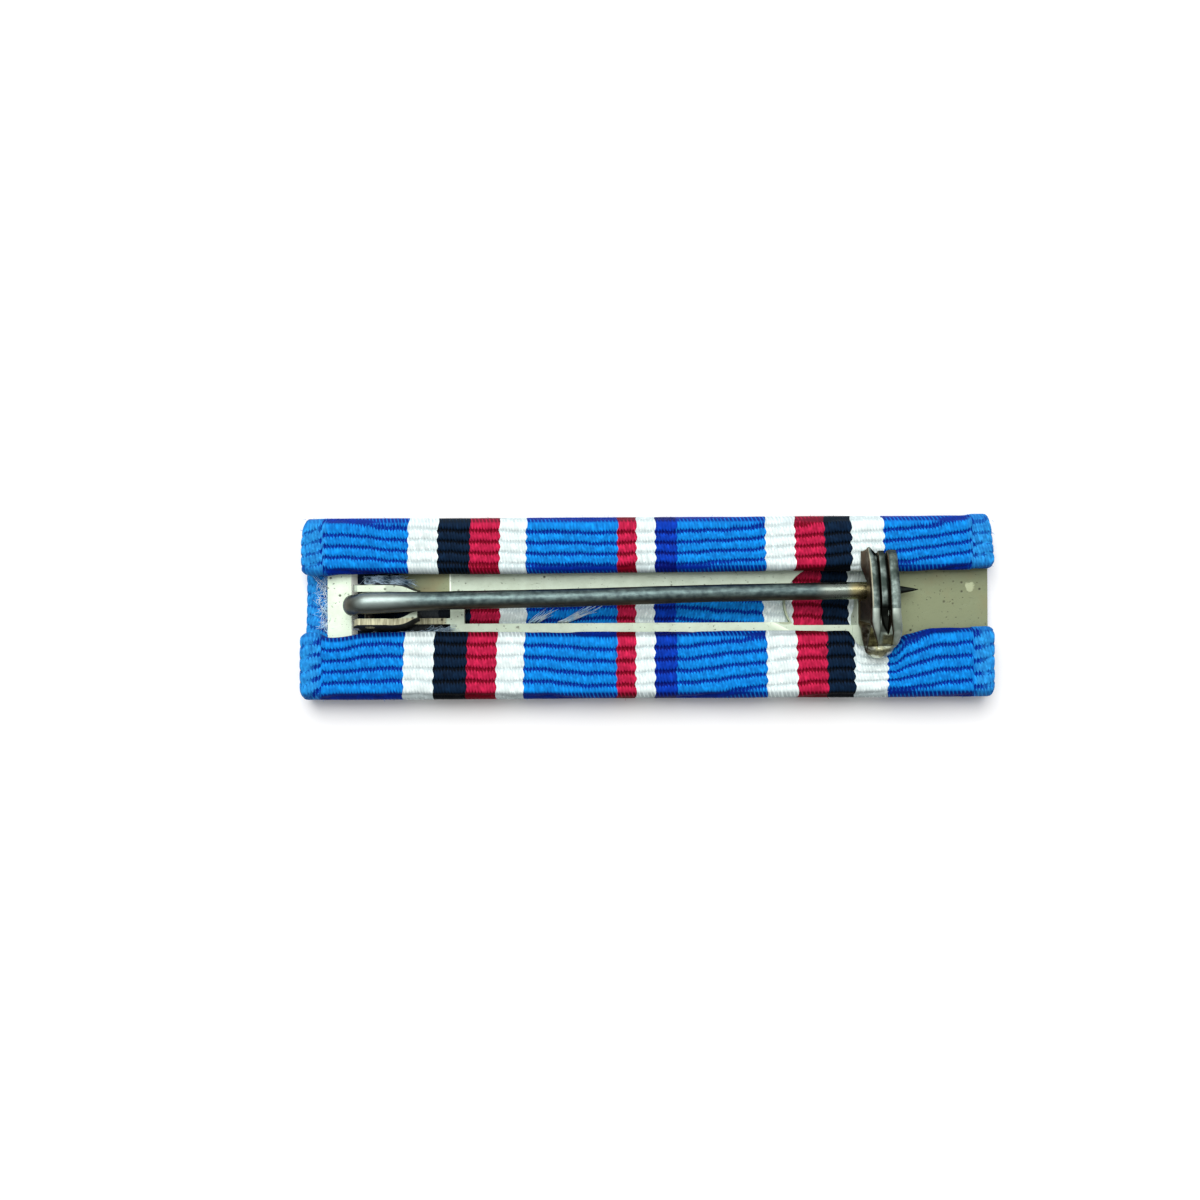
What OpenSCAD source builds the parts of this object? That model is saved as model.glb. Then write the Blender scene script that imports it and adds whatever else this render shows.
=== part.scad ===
// Ribbon bar: striped grosgrain wound over a stamped back plate, with a hinged
// pin and a hook catch on the back. It lies on its front, so the pin is on top.
// X runs along the bar from the hinge to the catch, Y from the lower fold to the
// upper one, and z = 0 is the surface that the front rests on. Millimetres.

/* [Bar] */
// Length of the bar, which is the width of the ribbon
bar_l = 34.9; // [32:0.1:38]
// Height of the bar from fold to fold
bar_h = 9.2; // [8.8:0.1:11]
// Radius of the bar's corners, seen from the back
corner_r = 0.45; // [0.3:0.05:0.8]

/* [Ribbon] */
// Thickness of one ply of ribbon, without its ribs
ply = 0.42; // [0.34:0.01:0.5]
// Height of the ribs over the ply
rib_h = 0.06; // [0.03:0.01:0.1]
// Distance from one rib to the next
rib_pitch = 0.58; // [0.45:0.01:0.8]
// Outer radius of the folds along the bar's long edges
fold_r = 0.55; // [0.5:0.05:0.7]
// Height of the band over the plate's upper part
upper_band = 2.85; // [2.6:0.05:3]
// Height of the band over the plate's lower part
lower_band = 3.35; // [3.1:0.05:3.4]
// Length of the end that is turned under each band
turn_under = 1.6; // [1.2:0.1:1.8]
// Gap between a band and the end turned under it
turn_gap = 0.04; // [0.02:0.01:0.08]
// Room between a turned-under end and the fold behind it
end_room = 0.12; // [0.08:0.01:0.2]
// Room that the lower band leaves on each side of the hook's neck
dent_room = 0.25; // [0.2:0.01:0.35]
// How far the bands' inner edges wander
edge_wave = 0.12; // [0:0.02:0.2]

/* [Back plate] */
// Thickness of the sheet
plate_t = 0.4; // [0.3:0.02:0.5]
// Gap between the plate and the ribbon on each side
stack_gap = 0.02; // [0.02:0.01:0.05]
// Gap between the plate's long edges and the ribbon's folds
edge_gap = 0.14; // [0.1:0.02:0.3]
// Bare ribbon past the plate's hinge end
hinge_end = 1.15; // [1:0.05:1.5]
// Bare ribbon past the plate's catch end
catch_end = 0.1; // [0.05:0.05:0.3]
// Height of the hole round the hinge
hinge_hole_h = 3.9; // [3.6:0.05:4]
// Width of the bridge between that hole and the window
bridge_w = 0.72; // [0.5:0.02:1]
// Top edge of the window, over the bar's middle line
window_top = 0.85; // [0.7:0.05:1.1]
// Bottom edge of the window, under the bar's middle line
window_bottom = 0.78; // [0.7:0.02:0.9]
// Radius of the round end of the hole beside the catch
round_r = 1.79; // [1.7:0.01:1.85]
// Distance from the middle of the hook back to that round end's centre
round_back = 2.88; // [2.8:0.02:3]
// How far the lower rail narrows beside that hole
rail_drop = 0.16; // [0.1:0.01:0.2]
// Length of the notch that the hole runs on into, above the hook's foot
notch_l = 0.85; // [0.7:0.05:0.95]
// Height of that notch's lower edge over the bar's middle line
notch_y = 1.25; // [1.1:0.05:1.35]
// Width of the sliver of sheet left between the window and the round end
sliver = 0.09; // [0.07:0.01:0.15]
// Depth of the pressed step on the rail beside the catch
step_d = 0.08; // [0.04:0.01:0.12]
// Bevel along the cut edges that face the hinge and the catch
bevel = 0.25; // [0.15:0.01:0.3]

/* [Hinge] */
// Distance from the bar's hinge end to the hinge's axis
hinge_in = 3.45; // [3.2:0.05:3.8]
// Height of the hinge above the bar's middle line
hinge_y = 0.25; // [0.15:0.05:0.35]
// Thickness of the two ears
ear_t = 0.32; // [0.25:0.01:0.4]
// Height of the ears over the hinge's axis
ear_over = 0.6; // [0.5:0.02:0.7]
// Length of the ears from the hinge's axis towards the bar's end
ear_tip = 0.95; // [0.85:0.05:1]
// Gap between the wire and the upper ear
ear_gap_up = 0.18; // [0.1:0.02:0.22]
// Gap between the wire and the lower ear
ear_gap_low = 0.28; // [0.2:0.02:0.32]
// Length of the ears before they bend in
ear_straight = 2.3; // [2.2:0.05:2.6]
// Length of the ears' bent ends
ear_bent = 1.05; // [1:0.05:1.3]
// How far the upper ear's bent end turns in towards the wire
upper_nip = 0.34; // [0.2:0.02:0.36]
// How far the lower ear's bent end turns in under the wire
lower_nip = 0.46; // [0.36:0.02:0.5]
// Height of the bent ends over the plate
bent_h = 1; // [0.8:0.05:1.05]
// Lean of the lower ear, in degrees
ear_lean = 12; // [8:1:14]
// Lean of the upper ear, in degrees
upper_lean = 3; // [0:1:5]
// Length of the arms between the ears and the bridge
arm_l = 1.55; // [1.4:0.05:1.7]
// Width of the tongue that carries the upper ear
tongue_w = 1.25; // [1.1:0.05:1.3]
// Width of the arm that carries the lower ear
arm_w = 0.3; // [0.26:0.02:0.4]
// Room between the pin's eye and the plate's edge
hole_gap = 0.24; // [0.2:0.02:0.3]
// Radius of the rivet that carries the pin
rivet_r = 0.25; // [0.2:0.01:0.28]
// Gap between the rivet and the pin's eye
run_gap = 0.05; // [0.03:0.01:0.08]
// Gap between the rivet and the ears
rivet_fit = 0.01; // [0.01:0.005:0.02]
// Gap between the pin's eye and the ribbon under it
eye_floor = 0.09; // [0.06:0.01:0.15]

/* [Pin] */
// Diameter of the wire
wire_d = 0.88; // [0.8:0.02:0.92]
// How far the point reaches past the middle of the hook
point_past = 1.9; // [1.6:0.1:2.4]
// Length of the ground point
point_l = 2.5; // [2.2:0.1:3]
// How far the point lies above the hinge, towards the bar's upper edge
pin_drift = 0.6; // [0.4:0.05:0.7]
// Gap between the plate and the wire at the catch
pin_lift = 0.28; // [0.2:0.02:0.4]

/* [Catch] */
// Distance from the bar's catch end to the middle of the hook
catch_in = 5.75; // [5.6:0.05:6]
// Width of the hook's leaf
leaf_w = 1.52; // [1.4:0.02:1.7]
// Thickness of the hook's strip
strip_t = 0.36; // [0.3:0.02:0.4]
// Distance from the hook's bend to the free end of its leaf
hook_l = 5.5; // [5.3:0.1:5.7]
// Height of the hook over the ribbon's bands
hook_rise = 1.56; // [1.5:0.02:1.7]
// How far the hook's bend reaches below the bar's middle line
hook_low = 2.6; // [2.5:0.05:2.7]
// How far that bend overhangs the edge of the lower band
hook_over = 0.55; // [0.5:0.01:0.6]
// Width of the hook's bend and lower limb
neck_w = 1.15; // [1:0.05:1.25]
// Offset of the neck from the leaf's middle, towards the hinge
neck_in = 0.12; // [0.05:0.01:0.16]
// Length of the narrow neck at the bend
neck_l = 0.5; // [0.4:0.05:0.6]
// Length over which the leaf widens from the neck
taper_l = 0.85; // [0.7:0.05:1]
// Width of the foot on the plate
foot_w = 1.75; // [1.6:0.05:1.8]
// Offset of the foot from the leaf's middle, towards the hinge
foot_in = 0.1; // [0.05:0.01:0.15]
// Height of the foot's upper end over the bar's middle line
foot_end = 0.45; // [0.3:0.05:0.6]
// Bare plate between the foot and the bevel beside it
foot_clear = 0.025; // [0.01:0.005:0.05]
// Width of the groove between a ridge and the strip between the ridges
groove_w = 0.08; // [0.06:0.01:0.12]
// Width of each raised ridge along the leaf
ridge_w = 0.42; // [0.36:0.02:0.46]
// Height of those ridges over the leaf's groove
ridge_h = 0.14; // [0.1:0.01:0.18]
// Thickness of the cheeks that hang from the leaf's sides
cheek_t = 0.2; // [0.15:0.01:0.24]
// Gap between the cheeks and the wire that lies under them
cheek_gap = 0.08; // [0.05:0.01:0.12]

/* [Hidden] */

// Heights in the stack, from the table up
ribbon_top = rib_h + ply;
plate_z = ribbon_top + stack_gap;
plate_top = plate_z + plate_t;
under_z = plate_top + stack_gap + ply / 2;
over_z = under_z + ply + turn_gap;
band_top = over_z + ply / 2 + rib_h;

// Places along and across the bar
hinge_x = -bar_l / 2 + hinge_in;
catch_x = bar_l / 2 - catch_in;
upper_edge = bar_h / 2 - upper_band;
lower_edge = -bar_h / 2 + lower_band;
hook_h = band_top - plate_top + hook_rise;
hook_dent = lower_edge + hook_low - hook_over;

// The pin: its wire bends round into an eye, with the rivet through it
wire_r = wire_d / 2;
eye_wire_r = wire_r + 0.03;
eye_r = rivet_r + run_gap + eye_wire_r;
eye_out = eye_r + eye_wire_r;
axis_z = ribbon_top + eye_floor + eye_out;
stem_z = axis_z + eye_r;
pin_l = catch_x - hinge_x + point_past;
catch_wire_z = plate_top + pin_lift + wire_r;
stem_yaw = asin(pin_drift / pin_l);
stem_dip = asin((stem_z - catch_wire_z) / (catch_x - hinge_x));
// The height of the wire's middle at a place along the bar
function wire_z(x) = stem_z - (x - hinge_x) * tan(stem_dip);

// A smooth row of points through each point of p
function curve(p, steps) = [
    for (i = [0 : len(p) - 2], k = [0 : steps - 1])
        let (
            a = p[max(i - 1, 0)],
            b = p[i],
            c = p[i + 1],
            d = p[min(i + 2, len(p) - 1)],
            t = k / steps
        )
        (2 * b + (c - a) * t + (2 * a - 5 * b + 4 * c - d) * t * t
            + (3 * b - a - 3 * c + d) * t * t * t) / 2,
    p[len(p) - 1]
];

// The right-hand normal of a row of points at its point i
function normal(p, i) =
    let (d = p[min(i + 1, len(p) - 1)] - p[max(i - 1, 0)], n = [d[1], -d[0]])
    n / norm(n);

// A wall that follows the row of points p, from offset lo to offset hi of it
module wall(p, lo, hi) {
    polygon(concat(
        [for (i = [0 : len(p) - 1]) p[i] + normal(p, i) * hi],
        [for (i = [len(p) - 1 : -1 : 0]) p[i] + normal(p, i) * lo]
    ));
}

// A profile in Y and Z, carried along X over the width w
module along_x(w) {
    rotate([90, 0, 90])
        linear_extrude(w, center = true)
            children();
}

// A profile in X and Z, carried along Y from y0 to y1
module along_y(y0, y1) {
    translate([0, y1, 0])
        rotate([90, 0, 0])
            linear_extrude(y1 - y0)
                children();
}

// A box between two corners
module block(a, b) {
    translate(a)
        cube(b - a);
}

// The ribbon's path in a cross-section, as rows of [y, z, normal y, normal z, rib].
// It starts at the end hidden under the upper band, turns at that band's inner
// edge, runs over the band, round the front and back over the lower band.
function piece_line(a, b, ribs, h) =
    let (d = b - a, n = [-d[1], d[0]] / norm(d))
    [for (k = [0 : 3 * ribs - 1])
        let (q = a + d * k / (3 * ribs))
        [q[0], q[1], n[0], n[1], k % 3 == 0 ? 0 : h]];

function piece_arc(c, r, from, to, ribs, h) = [
    for (k = [0 : 3 * ribs - 1])
        let (t = from + (to - from) * k / (3 * ribs))
        [c[0] + r * cos(t), c[1] + r * sin(t), cos(t), sin(t), k % 3 == 0 ? 0 : h]];

turn_r = (over_z - under_z) / 2;
turn_z = (over_z + under_z) / 2;
fold_mid = fold_r - ply / 2 - rib_h;
front_z = rib_h + ply / 2;
upper_ribs = max(2, round((upper_band - fold_r - turn_r) / rib_pitch));
lower_ribs = max(2, round((lower_band - fold_r - turn_r) / rib_pitch));
front_ribs = round((bar_h - 2 * fold_r) / rib_pitch);

function ribbon_path(top, bottom, upper, lower) =
    let (
        out = rib_h + ply / 2,
        t = top - out,
        b = bottom + out,
        u = upper + turn_r + out,
        l = lower - turn_r - out,
        f = fold_mid,
        u_end = min(u + turn_under, t - ply / 2 - end_room),
        l_end = max(l - turn_under, b + ply / 2 + end_room)
    )
    concat(
        piece_line([u_end, under_z], [u, under_z], 1, 0),
        piece_arc([u, turn_z], turn_r, 270, 90, 2, rib_h),
        piece_line([u, over_z], [t - f, over_z], upper_ribs, rib_h),
        piece_arc([t - f, over_z - f], f, 90, 0, 1, rib_h),
        piece_line([t, over_z - f], [t, front_z + f], 1, rib_h),
        piece_arc([t - f, front_z + f], f, 0, -90, 1, rib_h),
        piece_line([t - f, front_z], [b + f, front_z], front_ribs, rib_h),
        piece_arc([b + f, front_z + f], f, 270, 180, 1, rib_h),
        piece_line([b, front_z + f], [b, over_z - f], 1, rib_h),
        piece_arc([b + f, over_z - f], f, 180, 90, 1, rib_h),
        piece_line([b + f, over_z], [l, over_z], lower_ribs, rib_h),
        piece_arc([l, turn_z], turn_r, 90, -90, 2, rib_h),
        piece_line([l, under_z], [l_end, under_z], 1, 0),
        [[l_end, under_z, 0, -1, 0]]
    );

// Sections along the ribbon, from the hinge end to the catch end. Each row has
// its place, the share of corner_r cut off the folds, the shares of edge_wave
// added to the upper and lower bands' inner edges, and the share of hook_dent.
place = 0;
corner = 1;
wave_up = 2;
wave_low = 3;
dent = 4;
neck_x = catch_x - neck_in;
dent_side = neck_w / 2 + dent_room;
dent_run = 0.35;
function end_row(side, share, up, low) = [
    side * (bar_l / 2 - share * corner_r),
    1 - sqrt(1 - pow(1 - share, 2)),
    up,
    low,
    0
];
sections = [
    end_row(-1, 0, 0.4, -1),
    end_row(-1, 0.12, 0.4, -1),
    end_row(-1, 0.45, 0.3, -1),
    end_row(-1, 1, 0.2, -0.8),
    [-bar_l / 4, 0, 0, -0.2, 0],
    [0, 0, 0.3, 0, 0],
    [neck_x - dent_side - 2 * dent_run, 0, 0.5, 0.2, 0],
    [neck_x - dent_side, 0, 0.5, 0.2, 1],
    [neck_x + dent_side, 0, 0.4, 0.3, 1],
    [neck_x + dent_side + 2 * dent_run, 0, 0.2, 0.5, 0.35],
    [neck_x + dent_side + 5 * dent_run, 0, 0, 0.6, 0],
    end_row(1, 1, 0, 0.6),
    end_row(1, 0.45, 0, 0.5),
    end_row(1, 0.12, 0, 0.4),
    end_row(1, 0, 0, 0.4)
];

function section_path(s) = ribbon_path(
    bar_h / 2 - s[corner] * corner_r,
    -bar_h / 2 + s[corner] * corner_r,
    upper_edge + s[wave_up] * edge_wave,
    lower_edge + s[wave_low] * edge_wave - s[dent] * hook_dent
);

module ribbon() {
    paths = [for (s = sections) section_path(s)];
    // Outer points stand a rib out, and inner points take each third one
    outer_n = len(paths[0]);
    inner_n = (outer_n - 1) / 3 + 1;
    ring = outer_n + inner_n;
    points = [
        for (i = [0 : len(sections) - 1]) each concat(
            [for (q = paths[i])
                [sections[i][place], q[0] + q[2] * (ply / 2 + q[4]), q[1] + q[3] * (ply / 2 + q[4])]],
            [for (k = [inner_n - 1 : -1 : 0])
                let (q = paths[i][3 * k])
                [sections[i][place], q[0] - q[2] * ply / 2, q[1] - q[3] * ply / 2]]
        )
    ];
    sides = [
        for (i = [0 : len(sections) - 2], k = [0 : ring - 1])
            let (a = i * ring + k, b = i * ring + (k + 1) % ring)
            each [[a, b, b + ring], [a, b + ring, a + ring]]
    ];
    // Each end is closed rib by rib
    end_cells = [
        for (k = [0 : inner_n - 2])
            [ring - 1 - k, 3 * k, 3 * k + 1, 3 * k + 2, 3 * k + 3, ring - 2 - k]
    ];
    last = (len(sections) - 1) * ring;
    caps = concat(
        [for (c = end_cells) [for (j = [6 : -1 : 1]) c[j % 6]]],
        [for (c = end_cells) [for (j = [0 : 5]) last + c[j]]]
    );
    color("royalblue")
        polyhedron(points, concat(sides, caps), convexity = 8);
}

// The hole round the hinge, the window, the hole beside the catch
hole_left = hinge_x - sqrt(eye_out * eye_out - pow(axis_z - plate_top, 2)) - hole_gap;
ear_end = hinge_x - ear_tip + ear_straight + ear_bent;
hole_right = ear_end + arm_l;
window_left = hole_right + bridge_w;
catch_left = catch_x - leaf_w / 2;
round_x = catch_x - round_back;
round_y = hinge_y;
hole_end = catch_x - foot_in - foot_w / 2 - bevel - foot_clear;
notch_end = hole_end + notch_l;

// A bevelled cut edge: the prism taken off the plate's top along Y at x,
// where side is 1 if the hole lies on the edge's right and -1 on its left
module bevel_cut(x, side, y0, y1) {
    cut = 0.01;
    along_y(y0, y1)
        polygon([
            [x + side * bevel, plate_z - cut],
            [x - side * cut, plate_top + cut],
            [x + side * (bevel + cut), plate_top + cut]
        ]);
}

module plate_holes() {
    through = 0.05;
    lo = plate_z - through;
    hi = plate_top + through;
    // Round the hinge, with a bevel that slopes down to the hole on the left
    block([hole_left + bevel, -hinge_hole_h / 2, lo], [hole_right, hinge_hole_h / 2, hi]);
    bevel_cut(hole_left, 1, -hinge_hole_h / 2, hinge_hole_h / 2);
    // The long window, which ends in a sliver along the round hole
    difference() {
        block([window_left, -window_bottom, lo], [round_x, window_top, hi]);
        translate([round_x, round_y, lo - through])
            cylinder(r = round_r + sliver, h = hi - lo + 2 * through, $fn = 96);
    }
    // The hole beside the catch
    intersection() {
        union() {
            translate([round_x, round_y, lo])
                cylinder(r = round_r, h = hi - lo, $fn = 96);
            block([round_x, -window_bottom - rail_drop, lo], [hole_end, hinge_hole_h / 2, hi]);
            block([round_x, notch_y, lo], [notch_end, hinge_hole_h / 2, hi]);
        }
        block(
            [round_x - 2 * round_r, -window_bottom - rail_drop, lo],
            [notch_end, hinge_hole_h / 2, hi]
        );
    }
    bevel_cut(hole_end + bevel, -1, -window_bottom - rail_drop, hinge_y);
    // The pressed step on the lower rail carries the round hole's line on
    intersection() {
        union() {
            translate([round_x, round_y, plate_top - step_d])
                cylinder(r = round_r, h = plate_t, $fn = 96);
            block([round_x, round_y - round_r, plate_top - step_d], [hole_end, round_y, hi]);
        }
        block([round_x - round_r, -bar_h / 2, plate_top - step_d], [hole_end, 0, hi]);
    }
}

// An ear that rises beside the wire. inner is the offset of its inner face from
// the hinge's height, away from the wire, and side is 1 above and -1 below. It
// runs straight past the rivet and then turns in to its bent end.
ear_z = plate_z + 0.05;
ear_top = axis_z + ear_over;
ear_round = 0.45;
below = 0.3;
ear_steps = 3;
module ear(side, inner, lean, nip) {
    x1 = -ear_tip;
    x2 = ear_straight - ear_tip;
    x3 = x2 + ear_bent;
    face = side * inner;
    bent = side * (inner - nip);
    turn = (x3 - x2) / 4;
    line = concat(
        [[x1, face], [x1 + ear_straight / 2, face]],
        curve([
            [x2 - turn, face], [x2 + turn, face + (bent - face) * 0.2],
            [x3 - turn, face + (bent - face) * 0.85], [x3, bent]
        ], ear_steps)
    );
    crown = concat(
        curve([
            [x1, plate_top + 0.6 * ear_round], [x1 + 0.4 * ear_round, ear_top - ear_round],
            [x1 + ear_round, ear_top]
        ], ear_steps),
        curve([
            [x2 - ear_round, ear_top], [x2 + turn, ear_top - 0.7 * ear_round],
            [x3, plate_top + bent_h]
        ], ear_steps)
    );
    translate([hinge_x, hinge_y, 0])
        translate([0, face, ear_top])
            rotate([side * lean, 0, 0])
                translate([0, -face, -ear_top])
                    intersection() {
                        translate([0, 0, ear_z - below])
                            linear_extrude(ear_top - ear_z + below)
                                wall(line, side > 0 ? -ear_t : 0, side > 0 ? 0 : ear_t);
                        along_y(-bar_h / 2, bar_h / 2)
                            polygon(concat(crown, [[x3, ear_z], [x1 + ear_round, ear_z]]));
                    }
}

upper_in = wire_r + ear_gap_up;
lower_in = wire_r + ear_gap_low;
module hinge_ears() {
    tongue_start = ear_end - ear_bent - ear_z + plate_z;
    tongue_y = hinge_y + upper_in - 0.2 * tongue_w;
    thin = 0.15;
    arm_y = hinge_y - lower_in - ear_t;
    lap = 0.1;
    ear(1, upper_in, upper_lean, upper_nip);
    ear(-1, lower_in, ear_lean, lower_nip);
    // The upper ear grows from a tongue that dips from the bridge
    along_y(tongue_y, tongue_y + tongue_w)
        polygon([
            [tongue_start, plate_z], [hole_right + lap, plate_z], [hole_right + lap, plate_top],
            [hole_right, plate_top], [tongue_start, plate_z + thin]
        ]);
    // The lower ear grows from a narrow arm
    block(
        [ear_end - 4 * lap, arm_y, plate_z],
        [hole_right + lap, arm_y + arm_w, plate_top]
    );
}

// The sheet's outline, with its corners cut off behind the ribbon's round ones
module sheet_outline(x0, x1, half, cut) {
    polygon([
        [x0, cut - half], [x0 + cut, -half], [x1 - cut, -half], [x1, cut - half],
        [x1, half - cut], [x1 - cut, half], [x0 + cut, half], [x0, half - cut]
    ]);
}

module back_plate() {
    half = bar_h / 2 - ply - rib_h - edge_gap;
    color("beige")
        difference() {
            union() {
                difference() {
                    translate([0, 0, plate_z])
                        linear_extrude(plate_t)
                            sheet_outline(-bar_l / 2 + hinge_end, bar_l / 2 - catch_end, half, corner_r + edge_gap);
                    plate_holes();
                }
                hinge_ears();
            }
            translate([hinge_x, 0, axis_z])
                rotate([90, 0, 0])
                    cylinder(r = rivet_r + rivet_fit, h = bar_h / 2, center = true, $fn = 48);
        }
}

// The rivet ends flush with the ears' outer faces
module hinge_rivet() {
    color("darkkhaki")
        translate([hinge_x, hinge_y - lower_in - ear_t, axis_z])
            rotate([-90, 0, 0])
                cylinder(r = rivet_r, h = lower_in + upper_in + 2 * ear_t, $fn = 48);
}

// The wire runs straight from the top of its eye to the ground point
module pin() {
    stem = pin_l - point_l;
    tip_r = 0.03;
    color("dimgray")
        difference() {
            union() {
                translate([hinge_x, hinge_y, axis_z])
                    rotate([90, 0, 0])
                        rotate_extrude($fn = 72)
                            translate([eye_r, 0])
                                circle(eye_wire_r, $fn = 40);
                translate([hinge_x, hinge_y, stem_z])
                    rotate([0, 90 + stem_dip, stem_yaw]) {
                        cylinder(r = wire_r, h = stem, $fn = 40);
                        translate([0, 0, stem])
                            cylinder(r1 = wire_r, r2 = tip_r, h = point_l, $fn = 40);
                    }
            }
            translate([hinge_x, hinge_y, axis_z])
                rotate([90, 0, 0])
                    cylinder(r = rivet_r + run_gap, h = 2 * wire_d, center = true, $fn = 48);
        }
}

// The hook's strip, from its free end over the crest and round the bend to its
// foot. Each row is a share of hook_l from the bend and a share of hook_h.
leaf_shares = [[1, 0.53], [0.87, 0.69], [0.67, 0.84], [0.46, 0.928], [0.27, 0.885], [0.145, 0.79]];
limb_start = [0.22, 0.845];
bend_shares = [[0.145, 0.79], [0.065, 0.715], [0.033, 0.6], [0.07, 0.46], [0.16, 0.32], [0.26, 0.16]];
function hook_point(s) = [-hook_low + s[0] * hook_l, plate_top + s[1] * hook_h];
steps = 4;
leaf_path = curve([for (s = leaf_shares) hook_point(s)], steps);
foot_z = plate_top + stack_gap + strip_t / 2;
foot_start = hook_point(bend_shares[5])[0] + 0.25;
limb_path = concat(
    [hook_point(limb_start)],
    curve([for (s = bend_shares) hook_point(s)], steps),
    [[foot_start, foot_z], [foot_end - strip_t, foot_z]]
);
cheek_z = wire_z(catch_left) + wire_r / cos(stem_dip) + cheek_gap;
cheek_first = 2;
cheek_last = 3 * steps + 2;

module leaf() {
    half = strip_t / 2;
    overlap = 0.1;
    // The thin leaf and the raised strip in its groove
    along_x(leaf_w)
        wall(leaf_path, -half, half - ridge_h);
    along_x(leaf_w - 2 * (ridge_w + groove_w))
        wall(leaf_path, -half + overlap, half - ridge_h / 2);
    for (side = [-1, 1]) {
        translate([side * (leaf_w - ridge_w) / 2, 0, 0])
            along_x(ridge_w)
                wall(leaf_path, -half + overlap, half);
        translate([side * (leaf_w - cheek_t) / 2, 0, 0])
            along_x(cheek_t)
                polygon(concat(
                    [for (i = [cheek_first : cheek_last]) leaf_path[i]],
                    [[leaf_path[cheek_last][0], cheek_z], [leaf_path[cheek_first + 1][0], cheek_z]]
                ));
    }
}

// The bend and the lower limb start inside the leaf, thinner than it is
module limb() {
    half = strip_t / 2;
    thin = 0.6 * half;
    last = len(limb_path) - 1;
    function at(i) = i < 2 ? thin : half;
    polygon(concat(
        [for (i = [0 : last]) limb_path[i] + normal(limb_path, i) * at(i)],
        [for (i = [last : -1 : 0]) limb_path[i] - normal(limb_path, i) * at(i)]
    ));
}

module catch() {
    around = 0.1;
    neck_half = neck_w / 2 - around;
    wide = leaf_w / 2 + around;
    taper_to = -hook_low + neck_l;
    taper_from = taper_to + taper_l;
    color("dimgray")
        translate([catch_x, 0, 0]) {
            // The leaf narrows to the neck over its last stretch
            intersection() {
                leaf();
                translate([0, 0, plate_top])
                    linear_extrude(hook_h + 1)
                        polygon([
                            [-wide, hook_l], [-wide, taper_from], [-neck_in - neck_half, taper_to],
                            [-neck_in - neck_half, -hook_low], [neck_half - neck_in, -hook_low],
                            [neck_half - neck_in, taper_to], [wide, taper_from], [wide, hook_l]
                        ]);
            }
            translate([-neck_in, 0, 0])
                along_x(neck_w)
                    limb();
            block(
                [-foot_in - foot_w / 2, -window_bottom, plate_top + stack_gap],
                [-foot_in + foot_w / 2, foot_end, foot_z + 0.6 * strip_t]
            );
        }
}

ribbon();
back_plate();
hinge_rivet();
pin();
catch();
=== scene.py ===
import functools
import math

import bmesh
import bpy
import numpy as np
from bpy.props import FloatProperty, FloatVectorProperty, PointerProperty
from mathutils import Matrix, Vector


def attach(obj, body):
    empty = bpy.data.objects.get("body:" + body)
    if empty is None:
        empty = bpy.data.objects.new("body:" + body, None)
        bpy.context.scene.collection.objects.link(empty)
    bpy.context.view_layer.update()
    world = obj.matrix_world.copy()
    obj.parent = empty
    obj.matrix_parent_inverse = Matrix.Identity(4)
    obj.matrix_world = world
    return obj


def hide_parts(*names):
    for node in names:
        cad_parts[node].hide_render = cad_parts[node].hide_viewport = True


bl_info = {
    "name": "Ribbon Bar",
    "version": (1, 0, 0),
    "blender": (4, 5, 0),
    "location": "3D View > Sidebar > Ribbon Bar",
    "description": "Dresses a ribbon bar, seen from its back: wound ribbon, plate, hinged pin and hook catch",
    "category": "Add Mesh",
}

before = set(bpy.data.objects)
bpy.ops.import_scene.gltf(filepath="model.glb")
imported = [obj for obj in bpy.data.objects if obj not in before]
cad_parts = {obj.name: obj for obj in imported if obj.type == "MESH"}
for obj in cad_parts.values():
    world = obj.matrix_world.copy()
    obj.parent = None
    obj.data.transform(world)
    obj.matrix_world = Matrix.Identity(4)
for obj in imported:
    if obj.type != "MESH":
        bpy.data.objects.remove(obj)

MM = 0.001


# Colours and nodes

SMOOTH = "SMOOTHSTEP"


def linear(code):
    """The linear colour of an sRGB hex code, with an alpha of 1."""
    rgb = [int(code[i:i + 2], 16) / 255 for i in (0, 2, 4)]
    return [c / 12.92 if c <= 0.04045 else ((c + 0.055) / 1.055) ** 2.4 for c in rgb] + [1.0]


def add_node(tree, kind, *values, **named):
    """Adds a node and gives back its first output in use. An operation may follow the kind. The values
    fill the inputs in use, in order. A name is an input's or a setting's. A hex code is a colour."""
    kind, *operation = kind.split()
    made = tree.nodes.new("ShaderNode" + kind)
    if operation:
        made.operation = operation[0]
    for key in [key for key in named if key not in made.inputs]:
        setattr(made, key, named.pop(key))
    inputs = [*zip((i for i in made.inputs if i.enabled), values)]
    for socket, value in inputs + [(made.inputs[key], value) for key, value in named.items()]:
        if isinstance(value, bpy.types.NodeSocket):
            tree.links.new(value, socket)
        else:
            socket.default_value = linear(value) if isinstance(value, str) else value
    return next((o for o in made.outputs if o.enabled), None)


def new_material(name):
    """An empty node material, and add_node for its tree."""
    made = bpy.data.materials.new(name)
    made.use_nodes = True
    made.node_tree.nodes.clear()
    return made, functools.partial(add_node, made.node_tree)


def shade(add, colour, **named):
    """Ends a material with a Principled shader. An underscore in a name stands for a space."""
    inputs = {key.replace("_", " "): value for key, value in named.items()}
    add("OutputMaterial", add("BsdfPrincipled", **{"Base Color": colour}, **inputs))


def object_mm(add):
    """Where a point is on its object, in mm: the vector, then its x, y and z. Patterns on it have
    their scales per mm."""
    at = add("VectorMath SCALE", add("TexCoord").node.outputs["Object"], 1 / MM)
    return at, *add("SeparateXYZ", at).node.outputs


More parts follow.
